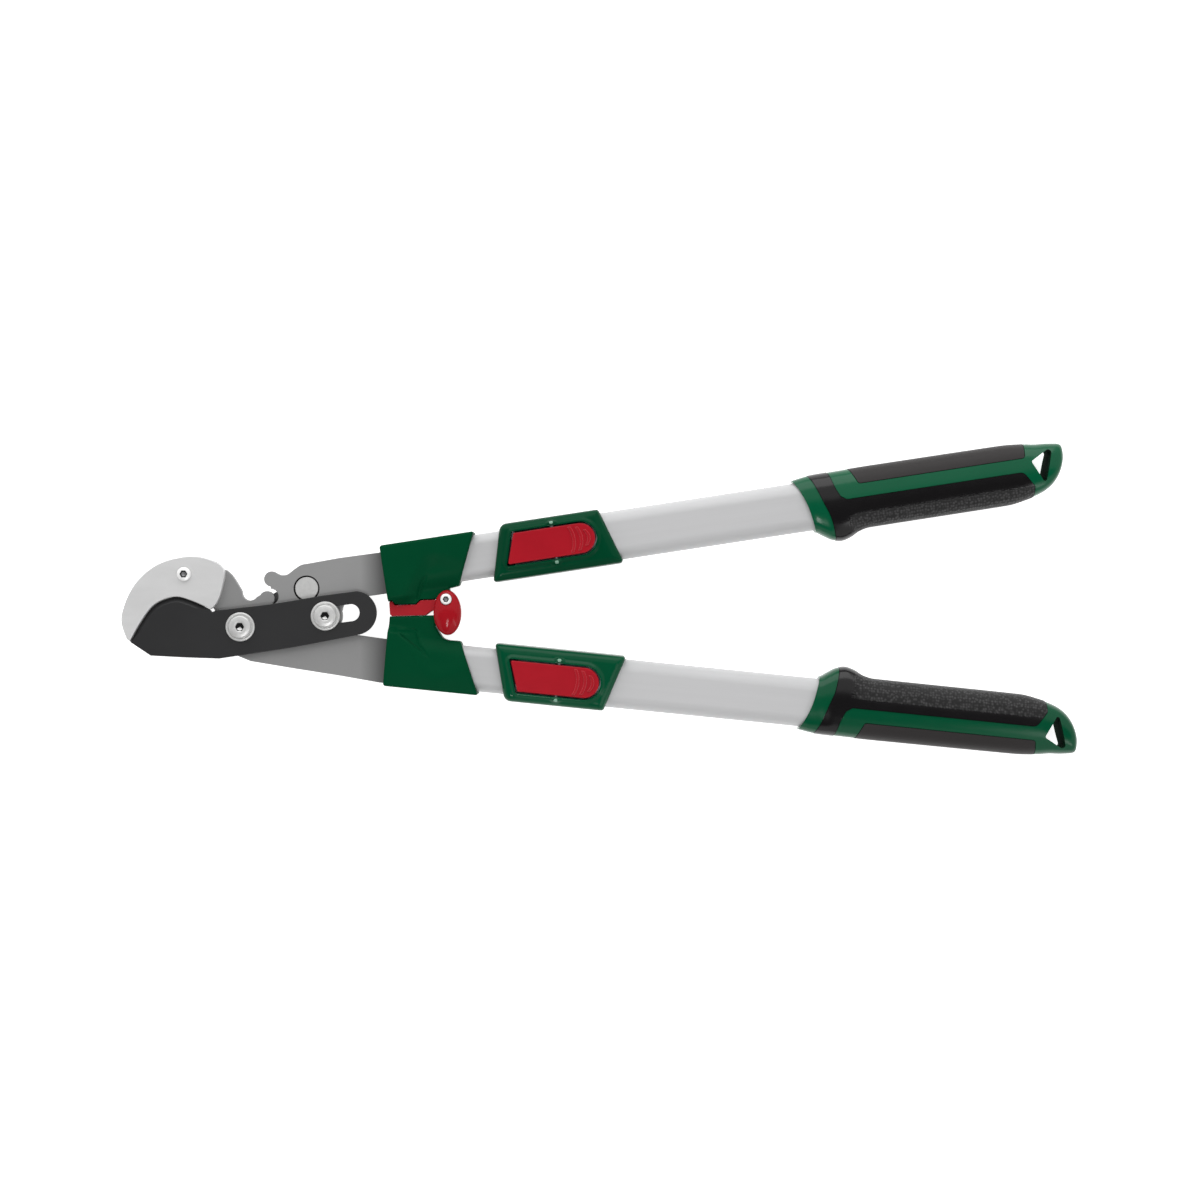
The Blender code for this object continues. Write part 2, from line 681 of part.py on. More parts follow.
def make_rivets(name, axis):
    head = INNER_TUBE[1] / 2 + GAP
    for place, along in zip(("front", "rear"), RIVET_PLACES):
        profile = [(RIVET_HEAD - 0.6, head + RIVET_HEAD_HEIGHT), (RIVET_HEAD, head), (RIVET_SHANK, head)]
        turned(f"{name}_arm_rivet_{place}", both_ends(profile), (along, 0), axis, zinc(), 12)


def upper_wing():
    """The upper collar's wing, whose end the bumper pad is then let into."""
    return [
        on_handle(1, COLLAR_FRONT + 0.5, -13.0),
        (WING_FRONT, BUMPER_TOP),
        (WING_FRONT + 26.6, BUMPER_TOP),
        (WING_FRONT + 33.1, 10.9),
        *arc(LATCH_SCREW, 6.0, 200, 350),
        (WING_FRONT + 46.2, 17.6),
        (WING_FRONT + 48.2, 19.6),
        on_handle(1, WING_FRONT + 49.6, -16.5),
        on_handle(1, WING_FRONT + 43.6, -13.0),
    ]


def lower_wing():
    """The lower collar's wing, with the notch that the latch's peg turns into."""
    peg = polar(LATCH_SCREW, CATCH_REACH, CATCH_REST - CATCH_TURN)
    notch = PEG_RADIUS + CATCH_CLEARANCE
    return [
        on_handle(-1, COLLAR_FRONT + 0.5, -13.0),
        (WING_FRONT, LOWER_WING_END),
        (WING_FRONT + 35.6, LOWER_WING_END),
        (WING_FRONT + 36.2, peg[1] + notch),
        *arc(peg, notch, 100, 225),
        (WING_FRONT + 34.9, -12.6),
        (WING_FRONT + 36.7, -15.6),
        (WING_FRONT + 40.0, -18.1),
        (WING_FRONT + 47.2, -19.6),
        on_handle(-1, WING_FRONT + 49.6, -16.5),
        on_handle(-1, WING_FRONT + 43.6, -13.0),
    ]


def bumper_outline():
    corners = [
        (-0.1, 10.1),
        (2.4, 10.1),
        (4.0, BUMPER_TOP),
        (19.2, BUMPER_TOP),
        (22.6, 10.4),
        (30.2, 10.4),
        (31.6, 8.4),
        (29.5, 2.0),
        (25.6, BUMPER_END),
        (1.6, BUMPER_END),
        (0.3, 0.8),
    ]
    return [(WING_FRONT + x, y) for x, y in corners]


def make_bumper(upper):
    red = material("bumper_plastic", srgb(149, 30, 38), 0.5)
    plate("bumper_pad", bumper_outline(), -WING_HALF, WING_HALF, upper, red)


def oval_loop(shrink, z):
    """The latch's outline at a height, drawn in by a distance."""
    half_width, half_length = (half - shrink for half in LATCH_SIZE)
    x, y = LATCH_CENTRE
    turns = [math.radians(360 * i / 28) for i in range(28)]
    return [(x + half_width * math.cos(t), y + half_length * math.sin(t), z) for t in turns]


def make_latch(parent):
    """A rounded latch that turns on a screw and hooks a peg under the lower collar's lug."""
    red = material("latch_plastic", srgb(166, 30, 37), 0.3)
    crown = ((0, 3.9), (0.8, 1.7), (2.6, 0.5), (5.0, 0))
    loops = [oval_loop(1.2, LATCH_BOTTOM), oval_loop(0, LATCH_BOTTOM + 1.2)]
    loops += [oval_loop(shrink, LATCH_TOP - down) for shrink, down in crown]
    moving = hinge("latch_hinge", parent, (*LATCH_SCREW, 0))
    latch = skin("latch", loops, moving, red)
    peg = polar(LATCH_SCREW, CATCH_REACH, CATCH_REST)
    profile = [(PEG_RADIUS, PEG_BOTTOM), (PEG_RADIUS, LATCH_BOTTOM + 2)]
    add(latch, turned("latch_peg", profile, peg, moving, count=16))
    bore(latch, LATCH_SCREW, LATCH_SCREW_SHANK + GAP, count=16)
    bore(latch, LATCH_SCREW, LATCH_SCREW_HEAD + 0.4, LATCH_SCREW_SEAT, 20)
    seat = LATCH_SCREW_SEAT + GAP
    profile = [
        (LATCH_SCREW_SHANK, 1 - WING_HALF),
        (LATCH_SCREW_SHANK, seat),
        (LATCH_SCREW_HEAD, seat),
        (LATCH_SCREW_HEAD, seat + 1.1),
        (LATCH_SCREW_HEAD * 0.8, seat + 1.8),
    ]
    screw = turned("latch_screw", profile, LATCH_SCREW, parent, zinc(), 20)
    socket = hexagon(LATCH_SCREW, LATCH_SCREW_HEAD * 0.4)
    cut(screw, plate("latch_screw_socket", socket, seat + 0.7, FAR, parent))


def handle_plate(name, outline, sign, bottom, top, parent, look=None, chamfer=0.0):
    return plate(name, mirrored(outline, sign), bottom, top, parent, look, chamfer)


def black_plastic():
    return material("black_plastic", srgb(30, 30, 30), 0.5)


def make_inner_tube(name, sign, axis):
    bright = material("inner_tube_aluminium", srgb(190, 190, 190), 0.35, 0.9)
    reach = (INNER_TUBE_START, INNER_TUBE_END)
    made = tube(name + "_inner_tube", INNER_TUBE, reach, axis, bright)
    for along in RIVET_PLACES:
        bore(made, (along, 0), RIVET_SHANK + GAP, count=12)
    for i in range(LOCK_STEPS + 1):
        along = OUTER_TUBE_START + LOCK_PIN + i * TRAVEL / LOCK_STEPS
        bore(made, (along, sign * BUTTON_CENTRE), LOCK_HOLE_RADIUS, 0, 12)
    low, high = INNER_TUBE_END + GAP, INNER_TUBE_END + GAP + PLUG_FLANGE
    start, inside = INNER_TUBE_END - PLUG_LENGTH, -TUBE_WALL - GAP
    plug = bar(name + "_tube_plug", INNER_TUBE, inside, start, high - 1, axis, black_plastic())
    add(plug, bar(name + "_plug_flange", INNER_TUBE, 0, low, high, axis))


def make_outer_tube(name, sign, slide):
    pale = material("outer_tube_aluminium", srgb(200, 200, 200), 0.35, 0.85)
    made = tube(name + "_outer_tube", OUTER_TUBE, (0, OUTER_TUBE_LENGTH), slide, pale)
    bore(made, (LOCK_PIN, sign * BUTTON_CENTRE), LOCK_PIN_RADIUS + LOCK_PIN_ROOM, 0, 16)
    outer, inner = oval(OUTER_TUBE), oval(INNER_TUBE, GAP)
    start, end = -BUSHING_LENGTH, -GAP
    loops = [across(outer, start), across(outer, end), across(inner, end), across(inner, start)]
    skin(name + "_front_bushing", loops, slide, black_plastic(), ring=True)


def button_outline(more=0.0):
    """The button from above, grown by a distance: a slanted front edge and a round rear end."""
    low, high = (BUTTON_CENTRE + side * (BUTTON_HALF + more) for side in (-1, 1))
    end = SPRING_PLACE - 1.2
    corners = [(end, low, 0), (end, high, 0), (2.0 - more, high, 1.2), (-5.0 - more, low, 1.2)]
    return arc((end, BUTTON_CENTRE), BUTTON_HALF + more, -90, 90) + rounded(corners)[2:]


def crossing(name, radius, sign, reach, parent, look=None):
    """A round bar on the button's axis, that reaches as far to both sides of the button's middle."""
    along, height = BUTTON_PIN
    ends = [sign * (BUTTON_CENTRE + side * reach) for side in (-1, 1)]
    return rod(name, radius, *ends, along, height, parent, look, count=12)


def make_clamp(name, sign, slide):
    """The housing on the outer tube's front end, with a raised frame round the button's window."""
    green = material("clamp_green_plastic", srgb(12, 78, 52), 0.4)
    side = OUTER_TUBE[0] / 2 + CLAMP_WALL
    ahead, behind = CLAMP_LENGTHS
    front = [(12.0 - ahead, side, 7), (1.9 - ahead, -4.0, 0), (-ahead, -side, 2)]
    corners = [*front, (behind, -side, 2), (behind - 12.7, side, 2.5)]
    steps = (
        (-3.0, -HALF_THICKNESS),
        (0, 3.5 - HALF_THICKNESS),
        (0, CLAMP_TOP - 6.2),
        (-1.3, CLAMP_TOP - 2.6),
        (-3.6, CLAMP_TOP),
    )
    loops = [level(mirrored(rounded_by(corners, by), sign), z) for by, z in steps]
    housing = skin(name + "_clamp_housing", loops, slide, green)
    rim = button_outline(CLAMP_FRAME_WIDTH)
    add(housing, handle_plate(name + "_rim", rim, sign, 8, CLAMP_FRAME, slide, chamfer=0.8))
    seat = -BUSHING_LENGTH - GAP
    cut(housing, bar(name + "_clamp_bore", INNER_TUBE, 0.5, seat - FAR, seat + 1, slide))
    cut(housing, bar(name + "_clamp_seat", OUTER_TUBE, GAP, seat, seat + 3 * FAR, slide))
    cut(housing, handle_plate(name + "_window", button_outline(BUTTON_GAP), sign, 5, FAR, slide))
    cut(housing, crossing(name + "_pin_room", BUTTON_PIN_RADIUS + GAP, sign, BUTTON_PIN_HALF + GAP, slide))


def make_button(name, sign, slide):
    """The button on its cross pin, with a spring under its rear end and a lock pin in its front end."""
    red = material("button_plastic", srgb(166, 26, 40), 0.4)
    steel = material("pin_steel", srgb(170, 170, 170), 0.3, 1.0)
    moving = hinge(name + "_button_hinge", slide, (BUTTON_PIN[0], 0, BUTTON_PIN[1]))
    outline = button_outline()
    button = handle_plate(name + "_clamp_button", outline, sign, BUTTON_BOTTOM, BUTTON_TOP, moving, red, 0.6)
    add(button, crossing(name + "_button_boss", BUTTON_BOSS, sign, BUTTON_HALF - 1, moving))
    for i in range(3):
        rib = rib_outline(SPRING_PLACE - 5.4 + 5 * i, 7.5 - 0.8 * i)
        add(button, handle_plate(name + "_rib", rib, sign, BUTTON_TOP - 1, BUTTON_TOP + 0.5, moving))
    cut(button, crossing(name + "_boss_bore", BUTTON_PIN_RADIUS + GAP, sign, FAR, moving))
    crossing(name + "_button_pin", BUTTON_PIN_RADIUS, sign, BUTTON_PIN_HALF, slide, steel)
    spring = (SPRING_PLACE, sign * BUTTON_CENTRE)
    lock = (LOCK_PIN, sign * BUTTON_CENTRE)
    pocket(button, spring, SPRING_RADIUS + SPRING_WIRE + 0.6, BUTTON_BOTTOM + SPRING_RECESS)
    pocket(button, lock, LOCK_PIN_HEAD + 0.5, BUTTON_BOTTOM + LOCK_PIN_RECESS)
    tube_top = OUTER_TUBE[1] / 2
    floor = INNER_TUBE[1] / 2 + GAP
    shoulder = tube_top + 1.6
    profile = [
        (LOCK_PIN_RADIUS - 0.4, floor),
        (LOCK_PIN_RADIUS, floor + 0.4),
        (LOCK_PIN_RADIUS, shoulder),
        (LOCK_PIN_HEAD, shoulder),
        (LOCK_PIN_HEAD, BUTTON_BOTTOM + LOCK_PIN_RECESS - GAP),
    ]
    turned(name + "_lock_pin", profile, lock, moving, steel, 20)
    top = BUTTON_BOTTOM + SPRING_RECESS - GAP
    make_spring(name + "_button_spring", spring, tube_top + GAP, top, slide, steel)


def pocket(piece, centre, radius, top):
    """A round recess in a piece's underside."""
    profile = [(radius, top - FAR), (radius, top)]
    cut(piece, turned(piece.name + "_pocket", profile, centre, piece.parent, count=16))


def rib_outline(along, half):
    """A narrow rib across the button, bowed towards its round end."""
    return [
        (along - 0.5, BUTTON_CENTRE - half),
        (along + 0.5, BUTTON_CENTRE - half),
        (along + 1.1, BUTTON_CENTRE),
        (along + 0.5, BUTTON_CENTRE + half),
        (along - 0.5, BUTTON_CENTRE + half),
        (along + 0.1, BUTTON_CENTRE),
    ]


def make_spring(name, centre, bottom, top, parent, look):
    curve = bpy.data.curves.new(name, "CURVE")
    curve.dimensions = "3D"
    curve.bevel_depth = SPRING_WIRE * MM
    curve.bevel_resolution = 1
    curve.use_fill_caps = True
    steps = SPRING_TURNS * SPRING_STEPS
    path = curve.splines.new("POLY")
    path.points.add(steps)
    low, high = bottom + SPRING_WIRE, top - SPRING_WIRE
    for i, point in enumerate(path.points):
        x, y = polar(centre, SPRING_RADIUS, 360 * i / SPRING_STEPS)
        point.co = (x * MM, y * MM, (low + (high - low) * i / steps) * MM, 1)
    curve.materials.append(look)
    made = bpy.data.objects.new(name, curve)
    bpy.context.scene.collection.objects.link(made)
    made.parent = parent


def grip_station(along, outer, inner, over, more, sign, longer):
    """One section of the grip, moved back where the longer grip is longer."""
    start, length = GRIP_LENGTHENS
    stretch = longer * min(1, max(0, (along - start) / length))
    side, half = OUTER_TUBE[0] / 2, OUTER_TUBE[1] / 2 + over
    left, right = sorted((sign * (inner - side - more), sign * (outer + side + more)))
    middle = (left + right) / 2
    radius = min(GRIP_CORNER, half, (right - left) / 2) + more
    radius = min(radius - 0.3, half + more - 0.3, (right - left) / 2 - 0.3)
    points = section(left - middle, right - middle, half + more, radius, parts=3)
    return across([(y + middle, z) for y, z in points], along + stretch)


def grip_form(name, sign, parent, longer, more=0.0, look=None, whole=True):
    """The grip, or all but its tip, as sections: along it, then out, in and over from the tube."""
    thick = GRIP_OVER_TUBE - PALM_PROUD
    front = -GRIP_LENGTH_ON_TUBE
    stations = [
        (front - 12.3, 1.1, -1.2, 1.6),
        (front - 4.3, 2.4, -1.2, 2.0),
        (front + 4.7, 3.7, -1.6, 2.8),
        (front + 10.7, 4.0, -5.2, 3.5),
        (front + 17.2, 4.1, -9.1, thick),
        (front + 23.2, 4.2, -10.3, thick),
        (front + 29.7, 4.3, -8.8, thick),
        (front + 36.7, 4.4, -5.2, thick),
        (front + 44.7, 4.5, -3.6, thick),
        (5.0, 4.3, -3.2, thick),
        (22.0, 3.1, -0.6, thick - 0.2),
        (31.0, 1.7, 2.0, thick - 0.7),
    ]
    tip = [
        (37.5, 0.6, 5.5, thick - 1.5),
        (43.0, -0.6, 11.0, thick - 2.8),
        (46.5, -1.7, 17.0, thick - 4.6),
        (48.8, -3.2, 22.8, thick - 7.4),
        (49.6, -5.2, 26.2, thick - 10.4),
    ]
    rows = stations + tip if whole else stations
    return skin(name, [grip_station(*row, more, sign, longer) for row in rows], parent, look)


def grip_regions(longer):
    """The soft palm's and the soft strip's outlines, seen from above."""
    front, lean = -GRIP_LENGTH_ON_TUBE, GRIP_FRONT_LEAN
    palm = [
        (front + 11.0 - lean * 26, 26, 0),
        (front + 24.7 - lean * 26, 26, 0),
        (front + 29.1, 0, 3),
        (17.0 + longer, 0, 5),
        (24.0 + longer, -11.0, 3),
        (21.5 + longer, -32, 0),
        (front + 11.0 + lean * 32, -32, 0),
    ]
    strip = [
        (front + 33.3, 26, 0),
        (22.4 + longer / 2, 26, 0),
        (19.6 + longer / 2, 10.4, 2),
        (front + 39.9, 10.4, 2),
    ]
    return rounded(palm), rounded(strip)


def through(name, outline, sign, parent):
    """An outline as a cutter that runs right through the handle."""
    return handle_plate(name, outline, sign, -FAR, FAR, parent)


def make_grip(name, sign, slide):
    """A hard core on the tube's rear end, and the soft palm and strip that are let into it."""
    end = frame(name + "_grip_frame", slide, (OUTER_TUBE_LENGTH, 0, 0))
    green = material("grip_green_plastic", srgb(20, 86, 58), 0.35)
    soft = material("grip_soft_rubber", srgb(40, 40, 40), 0.6)
    strip_look = material("grip_strip_rubber", srgb(60, 58, 60), 0.65)
    longer = LOWER_GRIP_LONGER if sign < 0 else 0.0
    palm, strip = grip_regions(longer)
    core = grip_form(name + "_grip_core", sign, end, longer, look=green)
    pads = (("palm", palm, PALM_PROUD, soft), ("strip", strip, STRIP_PROUD, strip_look))
    for part, outline, proud, look in pads:
        piece = grip_form(f"{name}_grip_{part}", sign, end, longer, proud, look)
        keep(piece, through(f"{name}_{part}_region", outline, sign, end))
        cut(piece, grip_form(f"{name}_{part}_under", sign, end, longer, -SOFT_DEPTH, whole=False))
        recess = through(f"{name}_{part}_recess", grown(outline, GAP), sign, end)
        cut(recess, grip_form(f"{name}_{part}_floor", sign, end, longer, -SOFT_DEPTH - GAP, whole=False))
        cut(core, recess)
    front, lean = -GRIP_LENGTH_ON_TUBE, GRIP_FRONT_LEAN
    ahead = [(front - FAR, FAR), (front - lean * FAR, FAR), (front + lean * FAR, -FAR), (front - FAR, -FAR)]
    cut(core, through(name + "_grip_front", ahead, sign, end))
    cut(core, bar(name + "_grip_bore", OUTER_TUBE, GAP, front - FAR, GAP, end))
    hole = [(23.3 + longer, 7.8, 1.5), (40.3 + longer, 16.0, 2.2), (31.6 + longer, -9.4, 1.5)]
    cut(core, through(name + "_hang_hole", rounded(hole), sign, end))


def main():
    for leftover in list(bpy.data.objects):
        bpy.data.objects.remove(leftover)
    x, y = ORIGIN_FROM_AXES
    root = frame("tool", None, (-x, -y, HALF_THICKNESS))
    carrier = hinge("carrier_hinge", root, (*PIVOT, 0))
    upper = hinge("handle_hinge", carrier, (*GEAR, 0))
    blade = hinge("blade_hinge", root, (*PIVOT, 0))
    make_hook(root)
    make_carrier(carrier)
    make_pivots(root, upper)
    make_gear_arm(upper)
    make_blade(blade)
    make_bumper(upper)
    make_latch(upper)
    for name, sign, base, wing in (("upper", 1, upper, upper_wing()), ("lower", -1, root, lower_wing())):
        axis = frame(name + "_axis", base, turn=sign * HALF_ANGLE)
        slide = frame(name + "_slide", axis, (OUTER_TUBE_START, 0, 0))
        collar = make_collar(name + "_collar", sign, axis, wing)
        if sign > 0:
            room = LATCH_SCREW_SHANK + GAP
            cut(collar, turned("latch_screw_room", [(room, -FAR), (room, FAR)], LATCH_SCREW, base))
            cut(collar, plate("bumper_seat", grown(bumper_outline(), GAP), -FAR, FAR, base))
        make_rivets(name, axis)
        make_inner_tube(name, sign, axis)
        make_outer_tube(name, sign, slide)
        make_clamp(name, sign, slide)
        make_button(name, sign, slide)
        make_grip(name, sign, slide)


main()
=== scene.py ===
import json
import math

import bmesh
import bpy
import numpy as np
from mathutils import Matrix, Vector
from mathutils.geometry import delaunay_2d_cdt

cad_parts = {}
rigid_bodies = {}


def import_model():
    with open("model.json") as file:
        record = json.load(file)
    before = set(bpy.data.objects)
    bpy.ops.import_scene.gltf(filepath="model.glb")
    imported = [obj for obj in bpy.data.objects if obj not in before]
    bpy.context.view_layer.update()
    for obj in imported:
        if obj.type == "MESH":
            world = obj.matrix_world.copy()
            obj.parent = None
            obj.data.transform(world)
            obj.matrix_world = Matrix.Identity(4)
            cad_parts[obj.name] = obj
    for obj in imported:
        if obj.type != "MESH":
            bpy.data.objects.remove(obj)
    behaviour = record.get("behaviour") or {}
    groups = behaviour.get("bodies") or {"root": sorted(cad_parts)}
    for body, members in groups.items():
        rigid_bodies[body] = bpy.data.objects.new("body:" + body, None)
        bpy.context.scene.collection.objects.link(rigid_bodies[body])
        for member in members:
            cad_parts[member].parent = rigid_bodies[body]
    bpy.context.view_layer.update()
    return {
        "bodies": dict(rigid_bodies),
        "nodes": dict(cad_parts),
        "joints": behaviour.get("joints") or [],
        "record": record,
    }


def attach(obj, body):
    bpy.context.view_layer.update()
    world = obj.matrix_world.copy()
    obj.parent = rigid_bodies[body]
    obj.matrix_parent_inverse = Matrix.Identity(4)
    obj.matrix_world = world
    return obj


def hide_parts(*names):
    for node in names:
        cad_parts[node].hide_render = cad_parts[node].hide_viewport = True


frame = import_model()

# Sizes are in millimetres and degrees, in the drawing frame of the solids: its origin is where the
# handle axes meet, +X runs to the grips, +Y to the upper handle and +Z out of the front face.
MM = 0.001
ORIGIN = (-405.83, 0.23, 14.5)
HALF_THICKNESS = 14.5
HALF_ANGLE = 7.22  # between either handle's axis and +X
GAP = 0.3
FAR = 60.0  # for cutters, whose ends lie outside the piece
CUTTER_EDGE = 0.02

PIVOT = (149.5, -5.4)
CENTRE_DISTANCE = 54.2  # from the main bolt to the gear arm's centre
CENTRE_ANGLE = 29.0
PITCH_RADIUS = CENTRE_DISTANCE / 2
FIRST_TOOTH = 17.5
TOOTH_TO_GAP = 28.2
TOOTH_RADIUS = 5.5
TOOTH_CLEARANCE = 0.35
HOOK_GAP_DEPTH = 1.6
GEAR_GAP_DEPTH = 0.4
SLIDE_RADIUS = 24.3  # from the gear arm's centre to the bolt in the slot
SLIDE_ANGLE = -55.7
ARM_HALF = 2.5
ARM_EDGE = 0.45
DISC_RADIUS = 20.5
BOSS_RADIUS = 11.5
TONGUE_LENGTH = 41
TONGUE_HALF = 11.5
GEAR_PIN_SEAT = (9.35, 0.5)  # radius and floor
BLADE_BACK = 2.8
BLADE_TOP = 6.8
BLADE_TAIL = (231.4, 2.3)
TAIL_RADIUS = 15.8
BLADE_GAP = 0.6  # between its cutting edge and the hook's
BLADE_LAND = 0.6
BLADE_EDGE = 0.4
BLADE_LEAST_EDGE = 0.15
GRIND_WIDTH = 3.4
GRIND_RUN_OUT = 5  # points at either end of the cutting edge
FACE_TOP = 7.3
FACE_EDGE = 0.7
SLOT_RADIUS = 6.1
SLOT_ROOM = 1.0
SLOT_LENGTH = 19.5

# Shanks are (radius, end), and screws' heads (radius, height). The bolts' heads have a chamfered flange,
# a groove and a disc.
BOLT_SEAT = 7.1
BOLT_HEIGHT = 3.6
BOLT_HEAD = [(10.4, 0), (10.4, 0.7), (10.0, 1.2), (8.9, 1.3), (8.6, 0.7),
             (8.1, 0.7), (7.9, 2.7), (7.3, 3.3), (5.4, BOLT_HEIGHT), (5.0, BOLT_HEIGHT)]
BOLT_SOCKET = 3.2
BOLT_SOCKET_FLOOR = 1.6
PIVOT_SHANK = (5.0, -12.4)
SLIDE_SHANK = (4.0, -8.6)
PLATE_SCREW = (110.3, 33.4)
PLATE_SCREW_SHANK = (2.2, -6.4)
PLATE_SCREW_HEAD = (5.0, 1.9)
LATCH_SCREW = (297.7, 10.6)
LATCH_SCREW_SHANK = (2.0, -5.3)
LATCH_SCREW_HEAD = (4.0, 1.8)
LATCH_SCREW_SEAT = 12.2

COLLAR_FRONT = 255.2
COLLAR_REAR = 323.4
COLLAR_EDGE = (2.0, 1.8)  # reach and height of its rounding
CREASE_DEPTH = 0.9
CREASE_WIDTH = 0.9
TUBE_FRONT = 264.0
TUBE_REAR = 689.0
SLEEVE_FRONT = 349.3
SLEEVE_LENGTH = 350.7
SLEEVE_REAR = SLEEVE_FRONT + SLEEVE_LENGTH
INNER_TUBE = (32.0, 16.4)
OUTER_TUBE = (35.6, 20.0)
TUBE_WALL = 1.5
TUBE_FLAT = 0.4  # half the flat of its narrow side
WING_FRONT = 256.4
WING_HALF = 6.3
BUMPER_TOP = 7.3
BUMPER_END = -0.6
LOWER_WING_END = -0.7
LATCH_CENTRE = (298.2, 1.0)
LATCH_SIZE = (10.0, 16.1)
LATCH_BASE = 7.9
LATCH_EDGE = 1.2
LATCH_DOME = (8.9, 5.3)  # where it starts and how far it rises
LATCH_REACH = 19.5  # from its screw to its peg
PEG_RADIUS = 2.6
PEG_ANGLE = -87.5
NOTCH_RADIUS = 3.1
NOTCH_ANGLE = -105.5

HOLE_RADIUS = 3.5
HOLE_STEP = 60
HOLE_COUNT = 6
BUTTON_CENTRE = 1.5
BUTTON_HALF = 10.8
BUTTON_BASE = 13.2
BUTTON_TOP = 16.5
BUTTON_PIN = 29.7
WINDOW_ROOM = 1.25
SPRING_PLACE = 49.7
LOCK_PIN = 6.7
CLAMP_TOP = 15.2
CLAMP_LIMIT = 17.2
CLAMP_EDGE = (5.4, 5.8)  # reach and height of its rounding in front
CLAMP_BACK_EDGE = (3.0, 3.5)
FRAME_WIDTH = 4.6
FRAME_SLOPE = 2.4
FRAME_RISE = 1.3
PIN_BUMP = 1.4
RIB_COUNT = 3
RIB_STEP = 5.3
RIB_WIDTH = 1.9
RIB_BASE = 16.0
RIB_TOP = 17.28

GRIP_ON_TUBE = 139.7
LOWER_GRIP_LONGER = 4.8
GRIP_TUCK = 0.04
PALM_PROUD = 0.35
STRIP_PROUD = 0.15
SOFT_DEPTH = 1.6
RECESS_DEPTH = 1.9
RECESS_ROOM = 0.45
KNURL_START = (588.0, 595.0)

# The stage, in metres and watts. A lamp is (name, place, size, power), and a dark patch of the sky is
# (centre, reach) along X and Y.
FLOOR_REACH = 30.0
FLOOR_DEPTH = 0.0005
FLOOR_GLOW = 0.85
LAMPS = [
    ("key", (-0.2, 1.65, 1.05), (3.0, 1.6), 25.5),
    ("side", (1.0, -0.7, 1.2), (0.25, 1.2), 2.5),
    ("streak", (-0.216, -0.5, 1.2), (0.1, 0.42), 3.2),
]
DARK_PATCHES = [((0, -0.13), (0.85, 0.24)), ((-0.25, -0.45), (0.38, 0.4))]
PATCH_RIM = (0.86, 1.06)
PATCH_LIGHT = 0.03
SKY_LIGHT = 0.78
CAMERA_ANGLE = 36.76
CAMERA_PLACE = (0.00165, 0.00742, 1.3145)
CAMERA_TURN = -1.47

HEAD = Matrix.Translation([v * MM for v in ORIGIN])


def on_axis(sign, along=0.0):
    """The place of a handle's own frame, whose X runs along the handle."""
    turn = Matrix.Rotation(math.radians(sign * HALF_ANGLE), 4, "Z")
    return HEAD @ turn @ Matrix.Translation((along * MM, 0, 0))


def polar(centre, radius, angle):
    turn = math.radians(angle)
    return (centre[0] + radius * math.cos(turn), centre[1] + radius * math.sin(turn))


GEAR = polar(PIVOT, CENTRE_DISTANCE, CENTRE_ANGLE)
SLIDE = polar(GEAR, SLIDE_RADIUS, SLIDE_ANGLE)


def arc(centre, radius, start, end, step=5.0):
    """Points on a circle from one angle to another, either way round."""
    count = max(1, round(abs(end - start) / step))
    return [polar(centre, radius, start + (end - start) * i / count) for i in range(count + 1)]


def between(t, a, b, c, d):
    """A cubic's value from b at t = 0 to c at t = 1."""
    square = 2 * a - 5 * b + 4 * c - d
    cube = 3 * b - a - 3 * c + d
    return (2 * b + (c - a) * t + square * t**2 + cube * t**3) / 2


def smooth(points, parts=8):
    """Points on a curve that passes through each given point."""
    padded = [points[0], *points, points[-1]]
    curve = []
    for p, q, r, s in zip(padded, padded[1:], padded[2:], padded[3:]):
        for i in range(parts):
            curve.append(tuple(between(i / parts, *values) for values in zip(p, q, r, s)))
    return [*curve, points[-1]]


def rounded(corners, step=9.0):
    """A closed outline whose corners (x, y, radius) are rounded off."""
    outline = []
    for i, (x, y, radius) in enumerate(corners):
        if radius == 0:
            outline.append((x, y))
            continue
        before = corners[i - 1]
        after = corners[(i + 1) % len(corners)]
        back = math.atan2(before[1] - y, before[0] - x)
        ahead = math.atan2(after[1] - y, after[0] - x)
        half = (ahead - back) % (2 * math.pi) / 2
        concave = half > math.pi / 2
        middle = back + half + (math.pi if concave else 0)
        opening = math.pi - half if concave else half
        reach = radius / math.sin(opening)
        centre = (x + reach * math.cos(middle), y + reach * math.sin(middle))
        sweep = 180 - 2 * math.degrees(opening)
        facing = math.degrees(middle) + 180
        turn = sweep / 2 if concave else -sweep / 2
        outline.extend(arc(centre, radius, facing - turn, facing + turn, step))
    return outline


def area(outline):
    """The area inside an outline, less than zero where it runs clockwise."""
    pairs = zip(outline, outline[1:] + outline[:1])
    return sum(a[0] * b[1] - b[0] * a[1] for a, b in pairs) / 2


def grown(outline, by):
    """The outline moved outward by a distance, or by a list with one distance a point."""
    sign = 1 if area(outline) > 0 else -1
    steps = by if isinstance(by, list) else [by] * len(outline)
    moved = []
    around = zip(outline[-1:] + outline[:-1], outline, outline[1:] + outline[:1], steps)
    for before, here, after, distance in around:
        first = math.atan2(here[1] - before[1], here[0] - before[0])
        second = math.atan2(after[1] - here[1], after[0] - here[0])
        nx = math.sin(first) + math.sin(second)
        ny = -math.cos(first) - math.cos(second)
        scale = sign * distance / max(0.4, 1 + math.cos(first - second))
        moved.append((here[0] + nx * scale, here[1] + ny * scale))
    return moved


def sided(outline, sign):
    """An outline with +Y outward, on the upper (1) or the lower handle (-1)."""
    return [(x, y * sign) for x, y in outline]


